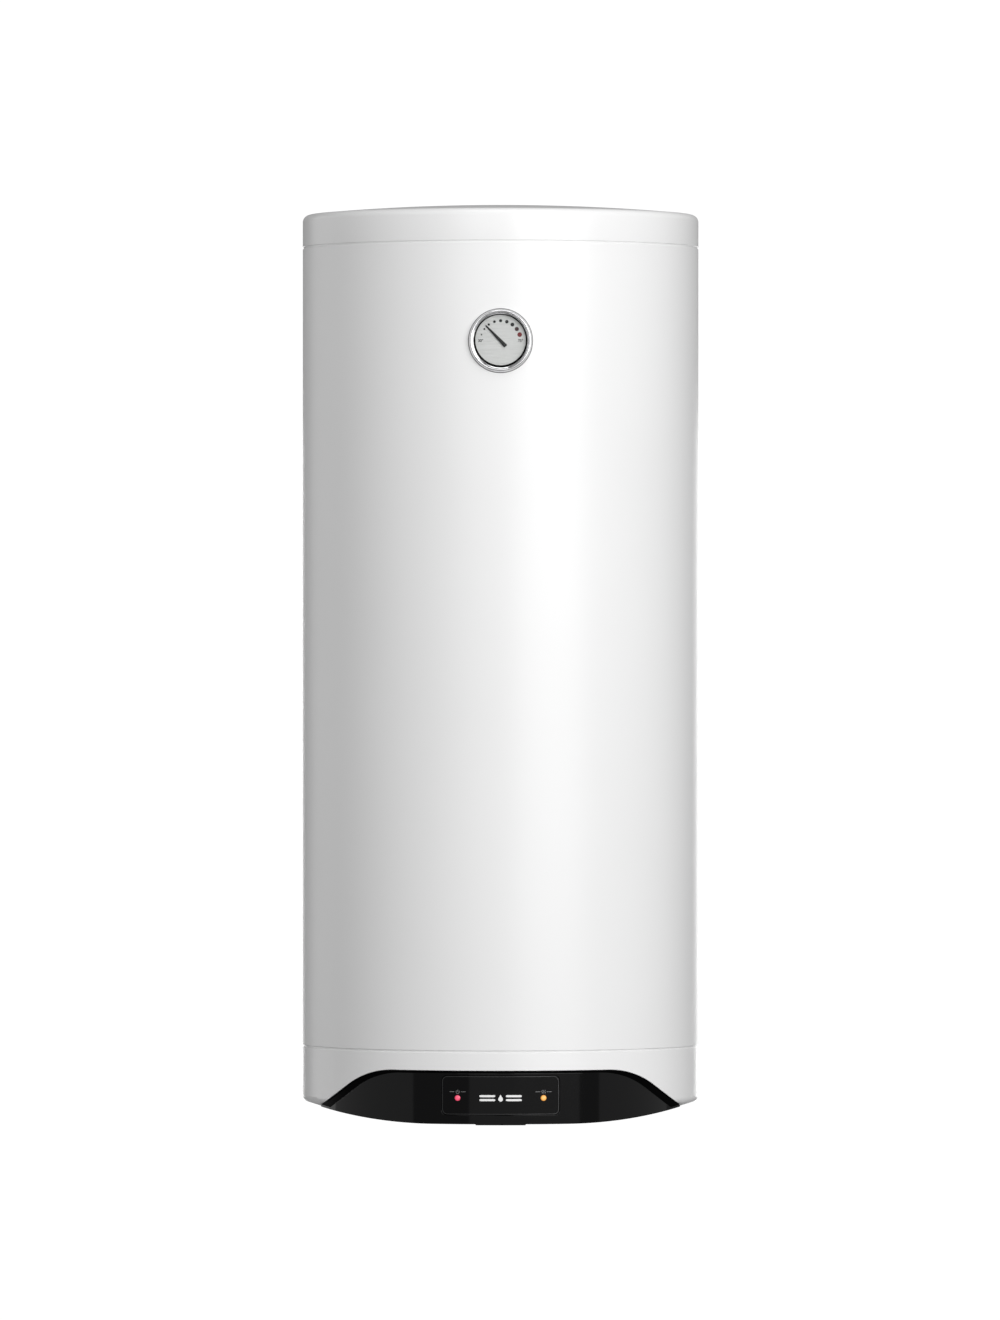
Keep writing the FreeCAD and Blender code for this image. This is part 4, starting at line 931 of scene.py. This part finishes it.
def top_cap(finishes):
    """The lid turned whole: a straight wall, a round rim, a shallow crown and a lip inside the jacket."""
    low, high = node_box("top_cover")
    wall, crown = CASE_R / MM, high.z / MM
    foot = low.z / MM
    edge = JACKET_HIGH.z / MM + SEAM
    rim = wall - RIM_R
    sag = crown - RIM_TOP
    bow = (rim * rim + sag * sag) / (2 * sag)
    turn = math.degrees(math.asin(rim / bow))
    dome = arc_points(0, crown - bow, bow, 90 - turn, 90, 40)
    profile = [(LIP_R, foot), (LIP_R, edge)]
    profile += arc_points(wall - SEAM_EDGE, edge + SEAM_EDGE, SEAM_EDGE, -90, 0, 5)
    profile += arc_points(rim, RIM_TOP - RIM_R, RIM_R, 0, 90 - turn, 14) + dome[1:-1]
    profile += [(POLE_R, crown), (POLE_R, crown - LID_T)]
    profile += [(r * 0.995, h - LID_T) for r, h in dome[::-1][1:]]
    profile += [(wall - LID_T, RIM_TOP - RIM_R), (wall - LID_T, edge + 6)]
    profile += [(LIP_R - LIP_T, edge + 4), (LIP_R - LIP_T, foot)]
    mesh = turned("top_cap", profile, Vector((AXIS.x, AXIS.y, 0)), UP, 256, limit=50)
    add_piece("top_cap", mesh, "heater", finishes["white_plastic"], ["top_cover"])


UPRIGHT = 0.03
ROUND = 0.1
RECESS_R = 223.2


def polished(node, name, slot, finishes, sunk=None):
    """A node's own shape with exact normals wherever it is turned round the heater's axis.

    Faces nearer the axis than sunk, in mm, take a darker, nearly unreflective finish: painted shade in the
    recessed band."""
    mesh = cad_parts[node].data.copy()
    mesh.name = name
    normals = [corner.vector.copy() for corner in mesh.corner_normals]
    bands = []
    for face in mesh.polygons:
        deepest = 0.0
        for corner in face.loop_indices:
            spot = mesh.vertices[mesh.loops[corner].vertex_index].co - AXIS
            out = Vector((spot.x, spot.y, 0)).normalized()
            across = Vector((-out.y, out.x, 0))
            deepest = max(deepest, math.hypot(spot.x, spot.y) / MM)
            if abs(face.normal.dot(across)) > ROUND:
                continue
            normal = normals[corner]
            if abs(face.normal.z) < UPRIGHT:
                normal = out * (1 if face.normal.dot(out) > 0 else -1)
            else:
                normal = normal - across * normal.dot(across)
            normals[corner] = normal.normalized()
        if sunk and deepest < sunk and abs(face.normal.z) < UPRIGHT:
            bands.append(face.index)
    piece = add_piece(name, mesh, "heater", finishes[slot], [node])
    # The sunk band's faces take the painted-shade finish, darker than the rest of the fascia.
    if bands:
        mesh.materials.append(finishes["recess_painted_shade"])
        for index in bands:
            mesh.polygons[index].material_index = 1
    mesh.normals_split_custom_set([tuple(n) for n in normals])
    return piece


# ---- edges of the sheet and moulded parts ----

def eased(node, name, width, finishes, slot, angle=40):
    """A copy of a node's own shape with its sharp edges rounded off."""
    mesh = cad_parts[node].data.copy()
    mesh.name = name
    work = bmesh.new()
    work.from_mesh(mesh)
    bmesh.ops.remove_doubles(work, verts=work.verts, dist=0.002 * MM)
    bmesh.ops.dissolve_limit(work, angle_limit=math.radians(1.5), verts=work.verts, edges=work.edges)
    edges = [e for e in work.edges if len(e.link_faces) == 2 and e.calc_face_angle(0) > math.radians(angle)]
    bmesh.ops.bevel(
        work, geom=edges, offset=width * MM, offset_type="OFFSET",
        segments=2, profile=0.6, affect="EDGES", clamp_overlap=True,
    )
    work.to_mesh(mesh)
    work.free()
    mesh.shade_smooth()
    mesh.set_sharp_from_angle(angle=math.radians(38))
    return add_piece(name, mesh, "heater", finishes[slot], [node])


SEAM_ROWS = 60
SEAM_INSET = 1.5
BRACKET_EASE = 0.6


def rear_seam(finishes):
    """The folded seam that closes the jacket sheet down its back."""
    low, high = JACKET_LOW.z / MM + SEAM_INSET, JACKET_HIGH.z / MM - SEAM_INSET
    section = [(-7.5, 0.0), (-6.8, 0.45), (-1.2, 0.55), (-0.5, 0.95), (6.2, 0.95), (7.0, 0.7), (7.4, 0.0)]
    points, faces = [], []
    for k in range(SEAM_ROWS + 1):
        z = low + (high - low) * k / SEAM_ROWS
        for x, lift in section:
            reach = CASE_R + (lift - 0.05) * MM
            points.append(Vector((x * MM, AXIS.y + math.sqrt(reach * reach - (x * MM) ** 2), z * MM)))
    count = len(section)
    for k in range(SEAM_ROWS):
        for j in range(count):
            n = (j + 1) % count
            faces.append((k * count + j, k * count + n, (k + 1) * count + n, (k + 1) * count + j))
    faces += [tuple(range(count)), tuple(range(SEAM_ROWS * count, (SEAM_ROWS + 1) * count))]
    mesh = mesh_from("rear_seam", points, faces, limit=25)
    add_piece("rear_seam", mesh, "heater", finishes["white_enamel"])


# ---- making it ----

make_camera()
make_studio()
FINISHES = make_finishes()
dress_nodes(FINISHES)
top_cap(FINISHES)
polished("jacket", "jacket_sheet", "white_enamel", FINISHES)
polished("bottom_cover", "lower_cover", "white_plastic", FINISHES)
polished("fascia", "fascia_shell", "black_gloss", FINISHES, RECESS_R)
polished("indicator_window", "window_pane", "black_gloss", FINISHES)
dial_painted_shade_ring(FINISHES)
dial_print(FINISHES)
bezel(FINISHES)
bezel_shadow_ring(FINISHES)
needle(FINISHES)
lamp_domes(FINISHES)
window_print(FINISHES)
pipe_stub("hot_pipe_stub", "hot_outlet_nipple", FINISHES)
pipe_stub("cold_pipe_stub", "cold_inlet_nipple", FINISHES)
knob(FINISHES)
knob_scale(FINISHES)
screw_heads(FINISHES)
rear_seam(FINISHES)
for bracket in ("upper", "lower"):
    eased(f"wall_bracket_{bracket}", f"bracket_{bracket}_eased", BRACKET_EASE, FINISHES, "white_enamel")
